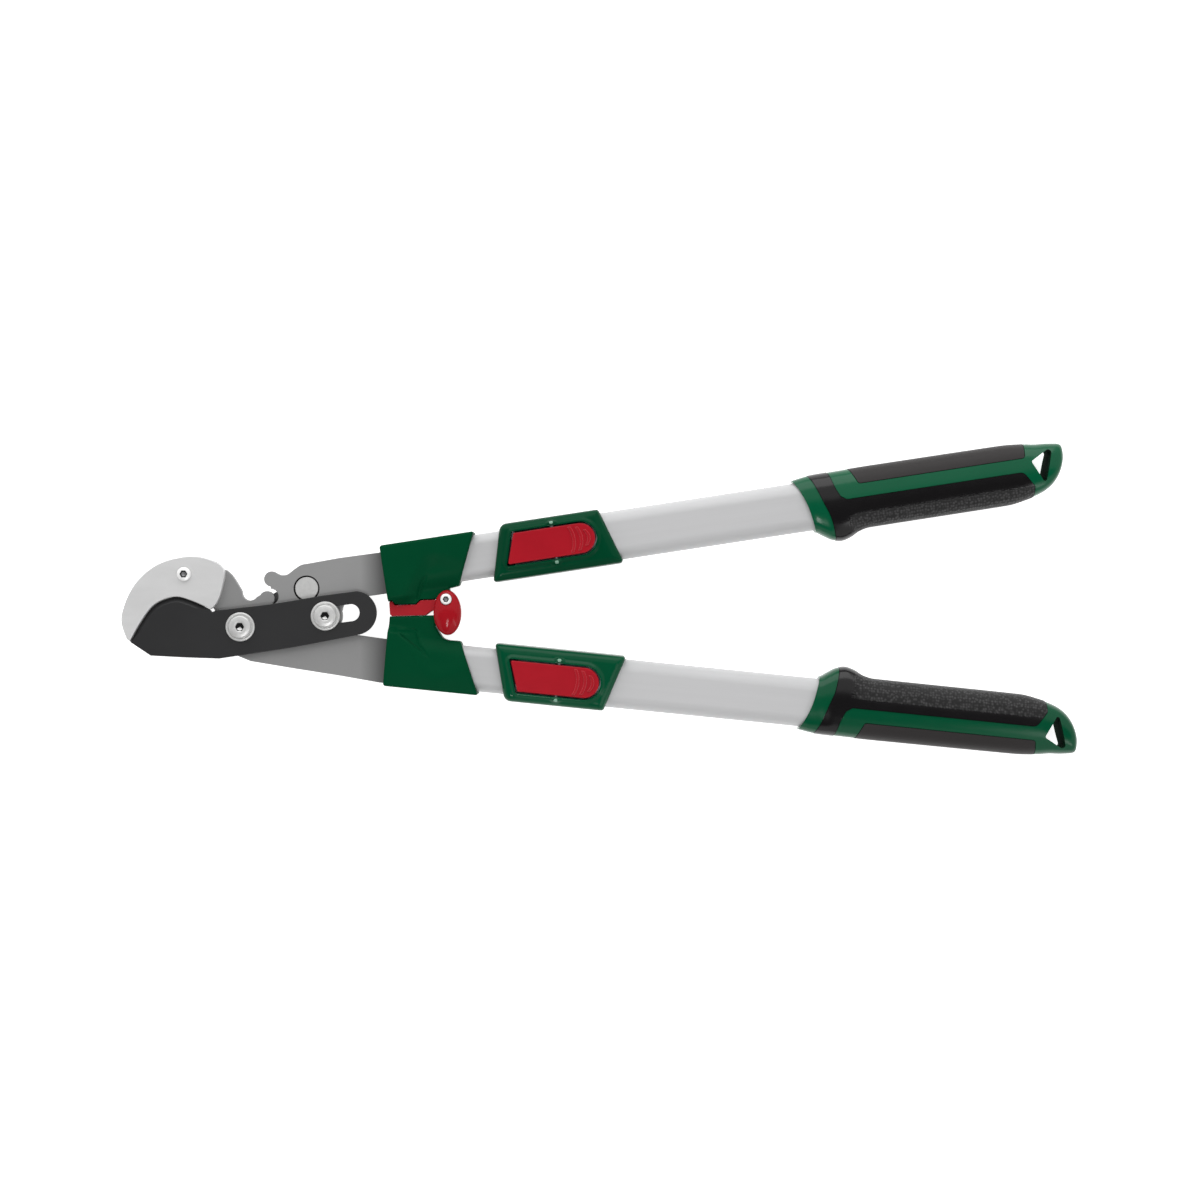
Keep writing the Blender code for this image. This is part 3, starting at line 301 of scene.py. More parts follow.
def on_handle(sign, along, outward):
    """A point of a handle's own frame in the drawing frame."""
    turn = math.radians(HALF_ANGLE)
    return (
        along * math.cos(turn) - outward * math.sin(turn),
        sign * (along * math.sin(turn) + outward * math.cos(turn)),
    )


def level(outline, z):
    return [(x, y, z) for x, y in outline]


def linked(name, data):
    made = bpy.data.objects.new(name, data)
    bpy.context.scene.collection.objects.link(made)
    return made


def skin(name, loops, place, ring=False):
    """A closed piece through loops of points, with both ends capped or, as a ring, joined up."""
    mesh = bpy.data.meshes.new(name)
    form = bmesh.new()
    rows = [[form.verts.new([v * MM for v in point]) for point in loop] for loop in loops]
    pairs = list(zip(rows, rows[1:]))
    if ring:
        pairs.append((rows[-1], rows[0]))
    else:
        form.faces.new(rows[0])
        form.faces.new(rows[-1])
    for low, high in pairs:
        for i in range(len(low)):
            j = (i + 1) % len(low)
            form.faces.new((low[i], low[j], high[j], high[i]))
    bmesh.ops.recalc_face_normals(form, faces=form.faces)
    form.to_mesh(mesh)
    form.free()
    made = linked(name, mesh)
    made.matrix_world = place
    return made


def round_edge(radius, steps=3):
    """(inset, drop) pairs of a rounded edge, from its side to its face."""
    turns = [math.pi / 2 * i / steps for i in range(steps + 1)]
    return [(radius * (1 - math.cos(t)), radius * (1 - math.sin(t))) for t in turns]


def slab(name, outline, bottom, top, place, edge=0.5, steps=3, lower=None):
    """A plate whose edges are rounded over."""
    lower = edge if lower is None else lower
    below, above = round_edge(lower, steps)[::-1], round_edge(edge, steps)
    loops = [level(grown(outline, -inset), bottom + drop) for inset, drop in below]
    loops += [level(grown(outline, -inset), top - drop) for inset, drop in above]
    return skin(name, loops, place)


def densified(outline, spacing):
    """A closed outline with points added, so that none lie further apart than the spacing."""
    points = []
    for (x, y), (p, q) in zip(outline, outline[1:] + outline[:1]):
        count = max(1, math.ceil(math.hypot(p - x, q - y) / spacing))
        points += [(x + (p - x) * i / count, y + (q - y) * i / count) for i in range(count)]
    return points


def depths(points, outline):
    """How far each point lies inside an outline, and less than nothing outside it."""
    start = np.array(outline)
    step = np.roll(start, -1, axis=0) - start
    offset = np.asarray(points)[:, None] - start
    along = np.clip((offset * step).sum(2) / (step**2).sum(1), 0, 1)
    nearest = np.linalg.norm(offset - along[..., None] * step, axis=2).min(1)
    above, over = offset[..., 1] >= 0, offset[..., 1] >= step[:, 1]
    rise = np.where(step[:, 1] == 0, 1, step[:, 1])
    crossed = (above != over) & (offset[..., 0] < offset[..., 1] * step[:, 0] / rise)
    return np.where(crossed.sum(1) % 2 == 1, nearest, -nearest)


def ramped(t):
    """From 0 to 1 as t goes from 0 to 1, with soft ends."""
    t = np.clip(t, 0, 1)
    return t * t * (3 - 2 * t)


def fall(depth, reach, height):
    """How far a rounded edge has fallen, at each depth inside it."""
    t = 1 - np.clip(depth / reach, 0, 1)
    return height * (1 - np.sqrt(1 - t**2))


def higher(a, b, soft):
    """The higher of two surfaces, with a soft valley between them."""
    return (a + b + np.sqrt((a - b) ** 2 + soft**2)) / 2


def relief(name, outline, top, under, place, rims, spacing, more=()):
    """A moulded form over a closed outline. top and under give the heights of its two faces from the
    points and their depths inside the outline. Rims are depths where its edges need more points."""
    border = densified(outline if area(outline) > 0 else outline[::-1], spacing)
    points = list(border)
    # Points of a ring that lie too near the border, where it folds over itself, are left out.
    for rim in rims:
        ring = grown(border, -rim)
        points += [p for p, depth in zip(ring, depths(ring, border)) if depth > 0.85 * rim]
    low, high = np.min(border, axis=0), np.max(border, axis=0)
    columns, rows = (np.arange(low[i], high[i], spacing) for i in (0, 1))
    grid = [(x, y) for x in columns for y in rows]
    points += [p for p, depth in zip(grid, depths(grid, border)) if depth > rims[-1] + spacing / 2]
    points += [p for p, depth in zip(more, depths(more, border)) if depth > 0.3] if len(more) else []
    edges = [(i, (i + 1) % len(border)) for i in range(len(border))]
    flat, _, faces, *_ = delaunay_2d_cdt([Vector(p) for p in points], edges, [], 1, 1e-4)
    flat = np.array([tuple(p) for p in flat])
    depth = np.maximum(0, depths(flat, border))
    upper = np.column_stack([flat, top(flat, depth)])
    lower = np.column_stack([flat, under(flat, depth)])
    count = len(flat)
    sides = {(a, b) for face in faces for a, b in zip(face, [*face[1:], face[0]])}
    walls = [(b, a, a + count, b + count) for a, b in sorted(sides) if (b, a) not in sides]
    backs = [[i + count for i in face[::-1]] for face in faces]
    mesh = bpy.data.meshes.new(name)
    mesh.from_pydata(np.vstack([upper, lower]) * MM, [], [*map(list, faces), *backs, *walls])
    made = linked(name, mesh)
    made.matrix_world = place
    return made


def turned(name, profile, centre, place, count=64):
    """A piece turned about a vertical axis, from (radius, height) pairs."""
    loops = [level(arc(centre, radius, 0, 360, 360 / count)[:-1], z) for radius, z in profile]
    return skin(name, loops, place)


def rod(name, radius, low, high, centre, place, count=32):
    return turned(name, [(radius, low), (radius, high)], centre, place, count)


def softened(profile, radius=0.3, steps=3):
    """A turned profile with each inner corner rounded off by a small radius."""
    points = [profile[0]]
    for before, here, after in zip(profile, profile[1:], profile[2:]):
        a, b, c = Vector(before), Vector(here), Vector(after)
        reach = min(radius, (a - b).length / 2, (c - b).length / 2)
        start, end = b + (a - b).normalized() * reach, b + (c - b).normalized() * reach
        for i in range(steps + 1):
            t = i / steps
            points.append(tuple(start * (1 - t) ** 2 + b * 2 * t * (1 - t) + end * t**2))
    return [*points, profile[-1]]


def combine(piece, operation, *others):
    """The piece joined with other pieces or cut by them. The others are used up."""
    for other in others:
        modifier = piece.modifiers.new(operation, "BOOLEAN")
        modifier.operation = operation
        modifier.solver = "MANIFOLD"
        modifier.object = other
    graph = bpy.context.evaluated_depsgraph_get()
    old = piece.data
    piece.data = bpy.data.meshes.new_from_object(piece.evaluated_get(graph))
    piece.modifiers.clear()
    bpy.data.meshes.remove(old)
    for other in others:
        bpy.data.objects.remove(other)


def cut(piece, *others):
    combine(piece, "DIFFERENCE", *others)


def done(piece, look, body, nodes=(), angle=50):
    """The piece with its material, shading, body and the solids that it stands for."""
    mesh = piece.data
    mesh.transform(piece.matrix_world)
    piece.matrix_world = Matrix.Identity(4)
    mesh.shade_smooth()
    mesh.set_sharp_from_angle(angle=math.radians(angle))
    weighted = piece.modifiers.new("shading", "WEIGHTED_NORMAL")
    weighted.keep_sharp = True
    weighted.weight = 80
    mesh.materials.clear()
    mesh.materials.append(look)
    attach(piece, body)
    if nodes:
        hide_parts(*nodes)
    return piece


# Materials

BUMP_STRENGTH = 0.6
WEAR_AND_HIGHLIGHT_RADIUS = 0.8


def linear(values):
    """Display values from 0 to 255 as linear ones from 0 to 1."""
    return [((v / 255 + 0.055) / 1.055) ** 2.4 if v > 10 else v / 255 / 12.92 for v in values]


def add_node(tree, kind, inputs, **settings):
    """A shader node with its settings, and with each input linked to a socket or set to a value."""
    node = tree.nodes.new("ShaderNode" + kind)
    for name, value in settings.items():
        setattr(node, name, value)
    for key, value in inputs.items():
        if isinstance(value, bpy.types.NodeSocket):
            tree.links.new(value, node.inputs[key])
        else:
            node.inputs[key].default_value = value
    return node


def surface(name, colour, roughness, metallic=0.0, tone=0.06, tone_size=40.0, grain=0.02,
            grain_size=0.5, streak=(1, 1, 1), rough_spread=0.025, specular=0.5, edge=0.0,
            rim=0.02, turn=0.0, painted_shade=None, knurl=None):
    """A procedural finish: a base colour that varies a little, uneven gloss and a fine raised grain.
    The sizes are in millimetres, and streak stretches the pattern along X, Y and Z, turned by an angle.
    Edge is the share of a lighter colour on sharp edges, which is wear and, on the button, a painted
    highlight, and rim makes that colour lighter still. The painted shade along an axis is (axis, start,
    end, share), and knurl is (size, height, axis, start, end), with painted shade between its pips and a
    painted highlight on their tops."""
    made = bpy.data.materials.new(name)
    made.use_nodes = True
    tree = made.node_tree
    shader = tree.nodes["Principled BSDF"].inputs
    shader["Metallic"].default_value = metallic
    shader["Specular IOR Level"].default_value = specular
    place = add_node(tree, "TexCoord", {}).outputs["Object"]
    mapping = add_node(tree, "Mapping", {
        "Location": [v * MM for v in ORIGIN],
        "Rotation": (0, 0, math.radians(turn)),
        "Scale": [s * MM for s in streak],
        "Vector": place,
    }, vector_type="TEXTURE").outputs["Vector"]
    parts = add_node(tree, "SeparateXYZ", {"Vector": mapping}).outputs

    def noise(size, detail, distortion=0.0):
        inputs = {"Scale": 1 / size, "Detail": detail, "Distortion": distortion, "Vector": mapping}
        return add_node(tree, "TexNoise", inputs).outputs["Fac"]

    def ramp(source, low, high, start=0.3, end=0.7):
        inputs = {"From Min": start, "From Max": end, "To Min": low, "To Max": high, "Value": source}
        return add_node(tree, "MapRange", inputs).outputs["Result"]

    def maths(operation, first, second):
        return add_node(tree, "Math", {0: first, 1: second}, operation=operation).outputs["Value"]

    def mix(factor, first, second, blend="MIX"):
        first, second = ((*v, 1) if isinstance(v, list) else v for v in (first, second))
        inputs = {"Factor": factor, "A": first, "B": second}
        return add_node(tree, "Mix", inputs, data_type="RGBA", blend_type=blend).outputs["Result"]

    def raised(height, distance, **below):
        inputs = {"Strength": BUMP_STRENGTH, "Distance": distance * MM, "Height": height, **below}
        return add_node(tree, "Bump", inputs).outputs["Normal"]

    base = linear(colour)
    clouds = noise(tone_size, 3.0, 0.4)
    fine = noise(grain_size, 2.0)
    dark = [v * (1 - tone) for v in base]
    light = [min(1, v * (1 + tone)) for v in base]
    tinted = mix(ramp(clouds, 0, 1, 0.2, 0.8), dark, light)
    tint = mix(ramp(fine, 0, tone * 2), tinted, [v * 0.8 for v in base])
    gloss = ramp(noise(tone_size * 0.35, 2.0), max(0.03, roughness - rough_spread),
                 min(1, roughness + rough_spread), 0.15, 0.85)
    normal = raised(fine, grain)
    # Painted shade: the colour darkens along an axis.
    if painted_shade:
        axis, start, end, share = painted_shade
        tint = mix(ramp(parts[axis], 0, 1, start, end), tint, [share] * 3, "MULTIPLY")
    if knurl:
        size, height, axis, start, end = knurl
        inputs = {"Scale": 1 / size, "Randomness": 0.6, "Vector": mapping}
        pips = add_node(tree, "TexVoronoi", inputs).outputs["Distance"]
        zone = maths("MULTIPLY", ramp(parts[axis], 0, 1, start, end), ramp(parts["X"], 0, 1, *KNURL_START))
        tops = maths("MULTIPLY", ramp(pips, 1, 0, 0.1, 0.6), zone)
        # The knurl zone is painted darker between its pips and lighter on their tops: painted shade and
        # painted highlight.
        tint = mix(zone, tint, [v * 0.35 for v in base])
        tint = mix(tops, tint, [v * 2.6 + 0.03 for v in base])
        gloss = maths("MAXIMUM", gloss, ramp(zone, 0, 0.55, 0, 1))
        normal = raised(tops, height, Normal=normal)
    if edge:
        # Lighter colour on sharp edges: wear on most finishes, and a painted highlight on the button's
        # edges and ribs.
        smoothed = add_node(tree, "Bevel", {"Radius": WEAR_AND_HIGHLIGHT_RADIUS * MM}).outputs["Normal"]
        facing = add_node(tree, "NewGeometry", {}).outputs["Normal"]
        dot = add_node(tree, "VectorMath", {0: smoothed, 1: facing}, operation="DOT_PRODUCT")
        wear_and_highlight = ramp(dot.outputs["Value"], edge, 0.0, 0.82, 0.99)
        tint = mix(wear_and_highlight, tint, [min(1, v * 1.5 + rim) for v in base])
    for key, output in (("Base Color", tint), ("Roughness", gloss), ("Normal", normal)):
        tree.links.new(output, shader[key])
    return made


# The finishes. The arms are painted darker where they run under the collars: painted shade from the
# collars.
LOOKS = {
    "arm": surface("arm_steel", (138, 138, 138), 0.52, 0.3, tone=0.05, grain=0.015,
                   grain_size=0.4, edge=0.15, painted_shade=("X", 234, 253, 0.33)),
    "gear_arm": surface("gear_arm_steel", (145, 145, 145), 0.52, 0.3, tone=0.05, grain=0.015,
                        grain_size=0.4, edge=0.15, painted_shade=("X", 236, 253, 0.37)),
    "face": surface("face_plate_steel", (208, 208, 208), 0.55, 0.3, tone=0.05, tone_size=14,
                    streak=(2, 0.6, 1), grain=0.01, edge=0.1),
    "blade": surface("blade_coating", (39, 39, 40), 0.4, tone=0.08, grain=0.012, grain_size=0.3,
                     specular=0.3, edge=0.05),
    # The carrier steel is painted darker than the arms: painted shade, for the parts that show in the
    # blade's slot.
    "carrier": surface("carrier_steel", (84, 84, 85), 0.5, 0.3, tone=0.1, grain=0.012, edge=0.15),
    "zinc": surface("fastener_zinc", (207, 207, 206), 0.36, 0.4, tone=0.09, tone_size=3,
                    grain=0.02, edge=0.2),
    # Bright zinc for the small screws, also used as a painted highlight in the bolts' sockets.
    "bright": surface("bright_zinc_and_painted_highlight", (246, 246, 245), 0.36, 0.2, tone=0.05, tone_size=3,
                      grain=0.01, edge=0.2),
    "steel": surface("pin_steel", (174, 174, 175), 0.5, 0.4, tone=0.04, tone_size=9, grain=0.006),
    "collar": surface("collar_green_plastic", (0, 65, 38), 0.4, tone=0.07, grain=0.012, grain_size=0.45,
                      specular=0.03, edge=0.02),
    "bumper": surface("bumper_plastic", (166, 28, 38), 0.4, tone=0.06, grain=0.015,
                      specular=0.15, edge=0.04),
    "latch": surface("latch_plastic", (160, 22, 32), 0.14, tone=0.04, grain=0.003,
                     rough_spread=0.02, specular=0.15),
    # The button's strong edge and rim paint a highlight on its edges and ribs.
    "button": surface("button_plastic", (164, 20, 34), 0.36, tone=0.06, tone_size=14, grain=0.012,
                      specular=0.1, edge=0.7, rim=0.1),
    # Painted shade on the grips' hang-hole walls.
    "hole": surface("hole_wall_painted_shade", (2, 42, 24), 0.8, tone=0.1, grain=0.01, specular=0.02),
    # A painted glint on the clamps' pin bumps.
    "glint": surface("painted_glint_green_plastic", (118, 160, 138), 0.3, tone=0.05, grain=0.003),
    "black": surface("black_plastic", (30, 30, 30), 0.5, tone=0.08, grain=0.02),
    "recess": surface("shaded_recess", (24, 24, 24), 0.7, tone=0.1, grain=0.02, specular=0.2),
    # A mid grey for the small screws' socket floors: a milder painted shade.
    "socket": surface("painted_shade_socket_floor", (132, 132, 134), 0.35, 0.4, tone=0.1, tone_size=3, grain=0.01),
}
# Each handle's own finishes. The clamps and the grips are one green plastic, painted a darker or a lighter
# green on either handle as painted shade and light: the upper clamp and the lower grip are darker. The
# pattern of the tubes and grips runs along the handle, and the knurl starts at an edge beside its axis.
for side, turn, clamp, gloss, green, edge in (
    ("upper", HALF_ANGLE, (0, 62, 37), 0.07, (1, 84, 54), -9.5),
    ("lower", -HALF_ANGLE, (0, 73, 45), 0.15, (0, 75, 47), 5.8),
):
    for part, grey, roughness, metallic, shine in (
        ("inner", (189, 189, 190), 0.55, 0.2, 0.35),
        ("outer", (193, 193, 194), 0.6, 0.15, 0.3),
    ):
        LOOKS[f"{part}_{side}"] = surface(f"{part}_tube_aluminium_{side}", grey, roughness, metallic,
                                          tone=0.03, tone_size=5, streak=(30, 1, 1), grain=0.006,
                                          grain_size=0.3, specular=shine, turn=turn)
    LOOKS["clamp_" + side] = surface("clamp_green_shaded_by_side_" + side, clamp, 0.2, tone=0.07, grain=0.008,
                                     grain_size=0.45, specular=gloss, edge=0.02)
    LOOKS["grip_" + side] = surface("grip_green_shaded_by_side_" + side, green, 0.18, tone=0.06, grain=0.008,
                                    grain_size=0.5, specular=0.28, edge=0.02)
    LOOKS["soft_" + side] = surface("grip_soft_rubber_" + side, (20, 19, 20), 0.17, tone=0.1, grain=0.012,
                                    grain_size=0.7, specular=0.38, edge=0.02, turn=turn,
                                    knurl=(2.0, 0.6, "Y", edge, edge * 1.25))
    LOOKS["strip_" + side] = surface("grip_strip_rubber_" + side, (42, 39, 39), 0.5, tone=0.06, grain=0.03,
                                     grain_size=0.6, specular=0.25, edge=0.02, turn=turn)


# Head

def hook_outline():
    """The hook's outer edge, from its tip to the teeth."""
    tip = [(68.6, -13.6), (64.6, 3.8), (74.4, 26.4)]
    return smooth([*tip, (92.0, 40.9), (114.8, 45.9), (131.6, 42.0), (138.4, 35.6)])


def cutting_edge():
    """The line along which the blade meets the hook."""
    tip = [(70.1, -13.6), (77.4, -1.0), (88.0, 12.0)]
    return smooth([*tip, (102.2, 17.3), (113.6, 14.8), (127.5, 8.4)])


def tooth_gap(centre, angle, start, end, depth):
    bottom = polar(centre, PITCH_RADIUS - depth, angle)
    return arc(bottom, TOOTH_RADIUS + TOOTH_CLEARANCE, angle + start, angle + end)


def shank(sign):
    """The end of an arm: it runs into its collar, and its narrower tongue into the tube."""
    inner, outer = {-1: (-15.1, 16.6), 1: (-16.3, 13.7)}[sign]
    start, shoulder, end = COLLAR_FRONT - 3.7, COLLAR_FRONT + 4.3, TUBE_FRONT + TONGUE_LENGTH
    corners = [(start, inner), (shoulder, inner), (shoulder, -TONGUE_HALF), (end, -TONGUE_HALF)]
    corners += [(end, TONGUE_HALF), (shoulder, TONGUE_HALF), (shoulder, outer), (start, outer)]
    return [on_handle(sign, *corner) for corner in corners]


def hook_arm_outline():
    mouth = [(130.7, 6.4), (130.2, 7.6), (128.6, 9.6), (122.0, 9.8), (113.0, 12.6), (102.2, 14.7),
             (89.8, 9.9)]
    tooth = polar(PIVOT, PITCH_RADIUS, CENTRE_ANGLE + FIRST_TOOTH)
    return [
        *hook_outline(),
        *smooth([(138.4, 36.6), (143.1, 32.4), (147.0, 26.4), (149.7, 21.4)], 3)[1:],
        *tooth_gap(PIVOT, CENTRE_ANGLE + FIRST_TOOTH + TOOTH_TO_GAP, 100, 250, HOOK_GAP_DEPTH),
        *arc(tooth, TOOTH_RADIUS, 150, -45),
        *tooth_gap(PIVOT, CENTRE_ANGLE + FIRST_TOOTH - TOOTH_TO_GAP, 90, 270, HOOK_GAP_DEPTH),
        (179.5, -12.0), (190.0, -13.6), (233.2, -13.6),
        *shank(-1),
        (220.7, -42.6), (187.0, -36.4), (155.4, -30.3),
        *arc(PIVOT, DISC_RADIUS, 248, 142),
        *mouth,
        (79.6, -2.6), (72.3, -14.4),
    ]


def gear_arm_outline():
    gap_angle = CENTRE_ANGLE + 180 - FIRST_TOOTH
    lobe = polar(GEAR, PITCH_RADIUS - 1.0, gap_angle - TOOTH_TO_GAP)
    tooth = polar(GEAR, PITCH_RADIUS, gap_angle + TOOTH_TO_GAP)
    return [
        *arc(lobe, TOOTH_RADIUS, 262, 50),
        *smooth([(178.3, 31.1), (183.0, 31.2), (188.5, 35.0), (193.5, 38.0), (199.0, 38.9)], 5),
        (221.0, 42.3),
        *shank(1)[::-1],
        (242.2, 14.4), (224.3, 12.4),
        *arc(SLIDE, BOSS_RADIUS, 15, -150),
        *arc(tooth, TOOTH_RADIUS, 300, 130),
        *tooth_gap(GEAR, gap_angle, 90, 255, GEAR_GAP_DEPTH),
    ]


def blade_loops():
    """The blade's outline at four heights, with a ground bevel down to its cutting edge."""
    edge = [(x, y - BLADE_GAP) for x, y in cutting_edge()]
    rest = [
        (129.3, 5.6),
        *smooth([(131.9, 6.7), (150.0, 8.3), (173.1, 10.5), (209.0, 15.5)], 3),
        *arc(BLADE_TAIL, TAIL_RADIUS, 84, -79),
        *smooth([(208.2, -17.6), (191.0, -20.4), (174.9, -22.7)], 3),
        *rounded([(148.3, -26.0, 0), (133.7, -27.8, 4), (108.6, -26.3, 0)])[:-1],
        (108.6, -26.3),
        (84.6, -24.4),
    ]
    outline = edge + rest
    count = len(edge)
    shares = [min(1, i / GRIND_RUN_OUT, (count - 1 - i) / GRIND_RUN_OUT) for i in range(count)]
    ground = [GRIND_WIDTH * share for share in shares] + [0.0] * len(rest)
    softer = [0.0] * count + [BLADE_EDGE] * len(rest)
    top = [-max(BLADE_LEAST_EDGE, a + b) for a, b in zip(ground, softer)]
    low = BLADE_BACK + BLADE_LAND
    high = BLADE_TOP - BLADE_EDGE
    return [
        level(grown(outline, [-b for b in softer]), BLADE_BACK),
        level(outline, low),
        [(x, y, low + BLADE_EDGE if g else high) for (x, y), g in zip(outline, ground)],
        level(grown(outline, top), BLADE_TOP),
    ]


def face_plate_outline():
    overhang = 0.15
    return [
        *grown(hook_outline(), overhang)[1:40],
        *smooth([(131.7, 42.1), (135.2, 40.2), (138.0, 37.4), (139.2, 34.2)], 4),
        *smooth([(138.9, 30.8), (137.4, 24.2), (135.7, 18.2), (133.2, 12.6), (130.4, 9.2),
                 (128.6, 7.9)], 5),
        *cutting_edge()[::-1],
    ]


def slot_outline():
    x, y = SLIDE[0] - PIVOT[0], SLIDE[1] - PIVOT[1]
    angle = math.degrees(math.atan2(y, x))
    start = math.hypot(x, y) - SLOT_ROOM
    near, far = (polar(PIVOT, reach, angle) for reach in (start, start + SLOT_LENGTH))
    end = arc(far, SLOT_RADIUS, angle - 90, angle + 90)
    return end + arc(near, SLOT_RADIUS, angle + 90, angle + 270)


def shaded(piece, centre, radius, low, high, look="recess"):
    """Another finish for the faces round a centre, between two heights: painted shade, unless another look
    is given.
    """
    mesh = piece.data
    mesh.materials.append(LOOKS[look])
    count = len(mesh.materials) - 1
    middle = Vector([a + b for a, b in zip((*centre, 0), ORIGIN)]) * MM
    for face in mesh.polygons:
        offset = face.center - middle
        if math.hypot(*offset[:2]) < radius * MM and low * MM < offset.z < high * MM:
            face.material_index = count


def socket(centre, radius, floor, top):
    """A hexagonal socket with a chamfered mouth, and a drilled cone under it that shows from above."""
    def flats(size):
        return densified(arc(centre, size, 0, 300, 60), size / 3.5)

    def drilled(size):
        return arc(centre, size, 0, 360, 15)[:-1]

    chamfer = radius * 0.35
    loops = [level(drilled(0.1), floor - 0.6 * radius), level(drilled(0.78 * radius), floor)]
    loops += [level(flats(radius), floor + 0.05), level(flats(radius), top - chamfer)]
    loops += [level(flats(radius * 3), top + chamfer * 4.7)]
    return skin("socket", loops, HEAD)


def bolt(name, centre, shank, body):
    """A wide bolt with a socket, painted dark as shade apart from a painted highlight low on its floor."""
    seat = BOLT_SEAT
    head = [(radius, seat + rise) for radius, rise in BOLT_HEAD]
    profile = [shank, (shank[0], seat)]
    piece = turned(name + "_head", profile + softened(head), centre, HEAD, 96)
    hollow = socket(centre, BOLT_SOCKET, seat + BOLT_SOCKET_FLOOR, seat + BOLT_HEIGHT)
    cut(piece, hollow)
    done(piece, LOOKS["zinc"], body, [name])
    # Painted shade in the socket.
    shaded(piece, centre, BOLT_SOCKET + 0.3, seat - 1.0, seat + 2.9)
    # A painted highlight low on the socket's floor.
    spot = (centre[0] - 0.1, centre[1] - 1.45)
    shaded(piece, spot, 1.2, seat - 1.0, seat + 1.55, "bright")


def small_screw(name, centre, shank, head, seat, body, node):
    """A small domed screw with a socket whose walls are painted dark as shade and whose floor is a paler
    grey, a milder painted shade.
    """
    radius, height = head
    shape = [(1.0, 0.0), (1.0, 0.5), (0.9, 0.8), (0.66, 1.0), (0.6, 1.0)]
    dome = softened([(share * radius, seat + rise * height) for share, rise in shape])
    screw = turned(name, [shank, (shank[0], seat)] + dome, centre, HEAD, 48)
    floor = seat + 0.5 * height
    cut(screw, socket(centre, 0.42 * radius, floor, seat + height))
    done(screw, LOOKS["bright"], body, [node])
    # Painted shade on the socket's walls, and a milder painted shade on its floor.
    shaded(screw, centre, 0.47 * radius, floor, seat + 0.85 * height)
    shaded(screw, centre, 0.33 * radius, floor - radius, floor - 0.02, "socket")


def make_head():
    arm = slab("hook_arm_plate", hook_arm_outline(), -ARM_HALF, ARM_HALF, HEAD, ARM_EDGE)
    done(arm, LOOKS["arm"], "lower_handle", ["hook_arm"])
    face = slab("silver_hook_face", face_plate_outline(), BLADE_BACK, FACE_TOP, HEAD, FACE_EDGE, 4,
                lower=0.2)
    done(face, LOOKS["face"], "lower_handle", ["hook_face_plate"])
    gear = slab("geared_arm_plate", gear_arm_outline(), -ARM_HALF, ARM_HALF, HEAD, ARM_EDGE)
    seat, floor = GEAR_PIN_SEAT
    cut(gear, rod("seat", seat, floor, FAR, GEAR, HEAD, 96))
    done(gear, LOOKS["gear_arm"], "upper_handle", ["gear_arm"])
    # Painted shade in the groove round the gear pin's seat.
    shaded(gear, GEAR, seat + 0.15, floor - 0.2, ARM_HALF - 0.05)
    blade = skin("curved_blade", blade_loops(), HEAD)
    cut(blade, slab("slot", slot_outline(), 0, FAR, HEAD, 0.05))
    done(blade, LOOKS["blade"], "blade", ["blade"], angle=25)
    bolt("pivot_bolt", PIVOT, PIVOT_SHANK, "lower_handle")
    bolt("slide_bolt", SLIDE, SLIDE_SHANK, "upper_handle")
    small_screw("domed_plate_screw", PLATE_SCREW, PLATE_SCREW_SHANK, PLATE_SCREW_HEAD, FACE_TOP + GAP,
                "lower_handle", "face_plate_screw")


# Collars, bumper and latch

def tube_section(size, more=0.0):
    """A tube's section: a flat oval, as (y, z) pairs."""
    half_width, half_height = size[0] / 2 + more, size[1] / 2 + more
    radius = half_height - TUBE_FLAT
    points = []
    for right, up, angle in ((1, 1, 0), (-1, 1, 90), (-1, -1, 180), (1, -1, 270)):
        centre = (right * (half_width - radius), up * (half_height - radius))
        points += arc(centre, radius, angle, angle + 90, 90 / 14)
    return points


def across(points, along):
    """A section's (y, z) pairs at a place along X."""
    return [(along, y, z) for y, z in points]


def bore(size, room, start, end, place):
    """A cutter with a tube's section, from one place along X to another."""
    section = tube_section(size, room)
    return skin("bore", [across(section, x) for x in (start, end)], place)


def from_head(sign, points):
    """Points of the drawing frame in a handle's own frame, with +Y outward on either handle."""
    turn = math.radians(HALF_ANGLE)
    cosine, sine = math.cos(turn), math.sin(turn)
    return [(x * cosine + sign * y * sine, sign * y * cosine - x * sine) for x, y in points]


def wing_edge(sign):
    """A collar's inner edge, from rear to front, with the lower collar's notch for the latch's peg."""
    screw = (LATCH_SCREW[0] - WING_FRONT, LATCH_SCREW[1])
    if sign > 0:
        edge = [(46.4, 19.0), (43.2, 18.3), (43.4, 16.6), (45.6, 13.6), *arc(screw, 6, 350, 200)]
        edge += [(33.1, 10.9), (26.6, BUMPER_TOP), (0, BUMPER_TOP)]
    else:
        notch = polar(screw, LATCH_REACH, NOTCH_ANGLE)
        edge = smooth([(47.4, -19.4), (44.5, -19.2), (41.3, -18.7), (37.8, -17.0), (34.9, -12.6)], 4)
        edge += [*arc(notch, NOTCH_RADIUS, 225, 100), (36.2, notch[1] + NOTCH_RADIUS)]
        edge += [(35.6, LOWER_WING_END), (0, LOWER_WING_END)]
    return from_head(sign, [(WING_FRONT + x, y) for x, y in edge])


def bumper_outline():
    corners = [(-0.1, 10.1, 1.2), (2.4, 10.1, 0.8), (4.0, BUMPER_TOP, 0.8), (19.2, BUMPER_TOP, 1.5)]
    corners += [(22.6, 10.4, 1), (35.4, 10.4, 1), (35.4, 3.6, 1), (30.6, 2.6, 2), (25.6, BUMPER_END, 1.5)]
    corners += [(1.6, BUMPER_END, 1), (0.3, 0.8, 0.8)]
    return rounded([(WING_FRONT + x, y, r) for x, y, r in corners], 20)


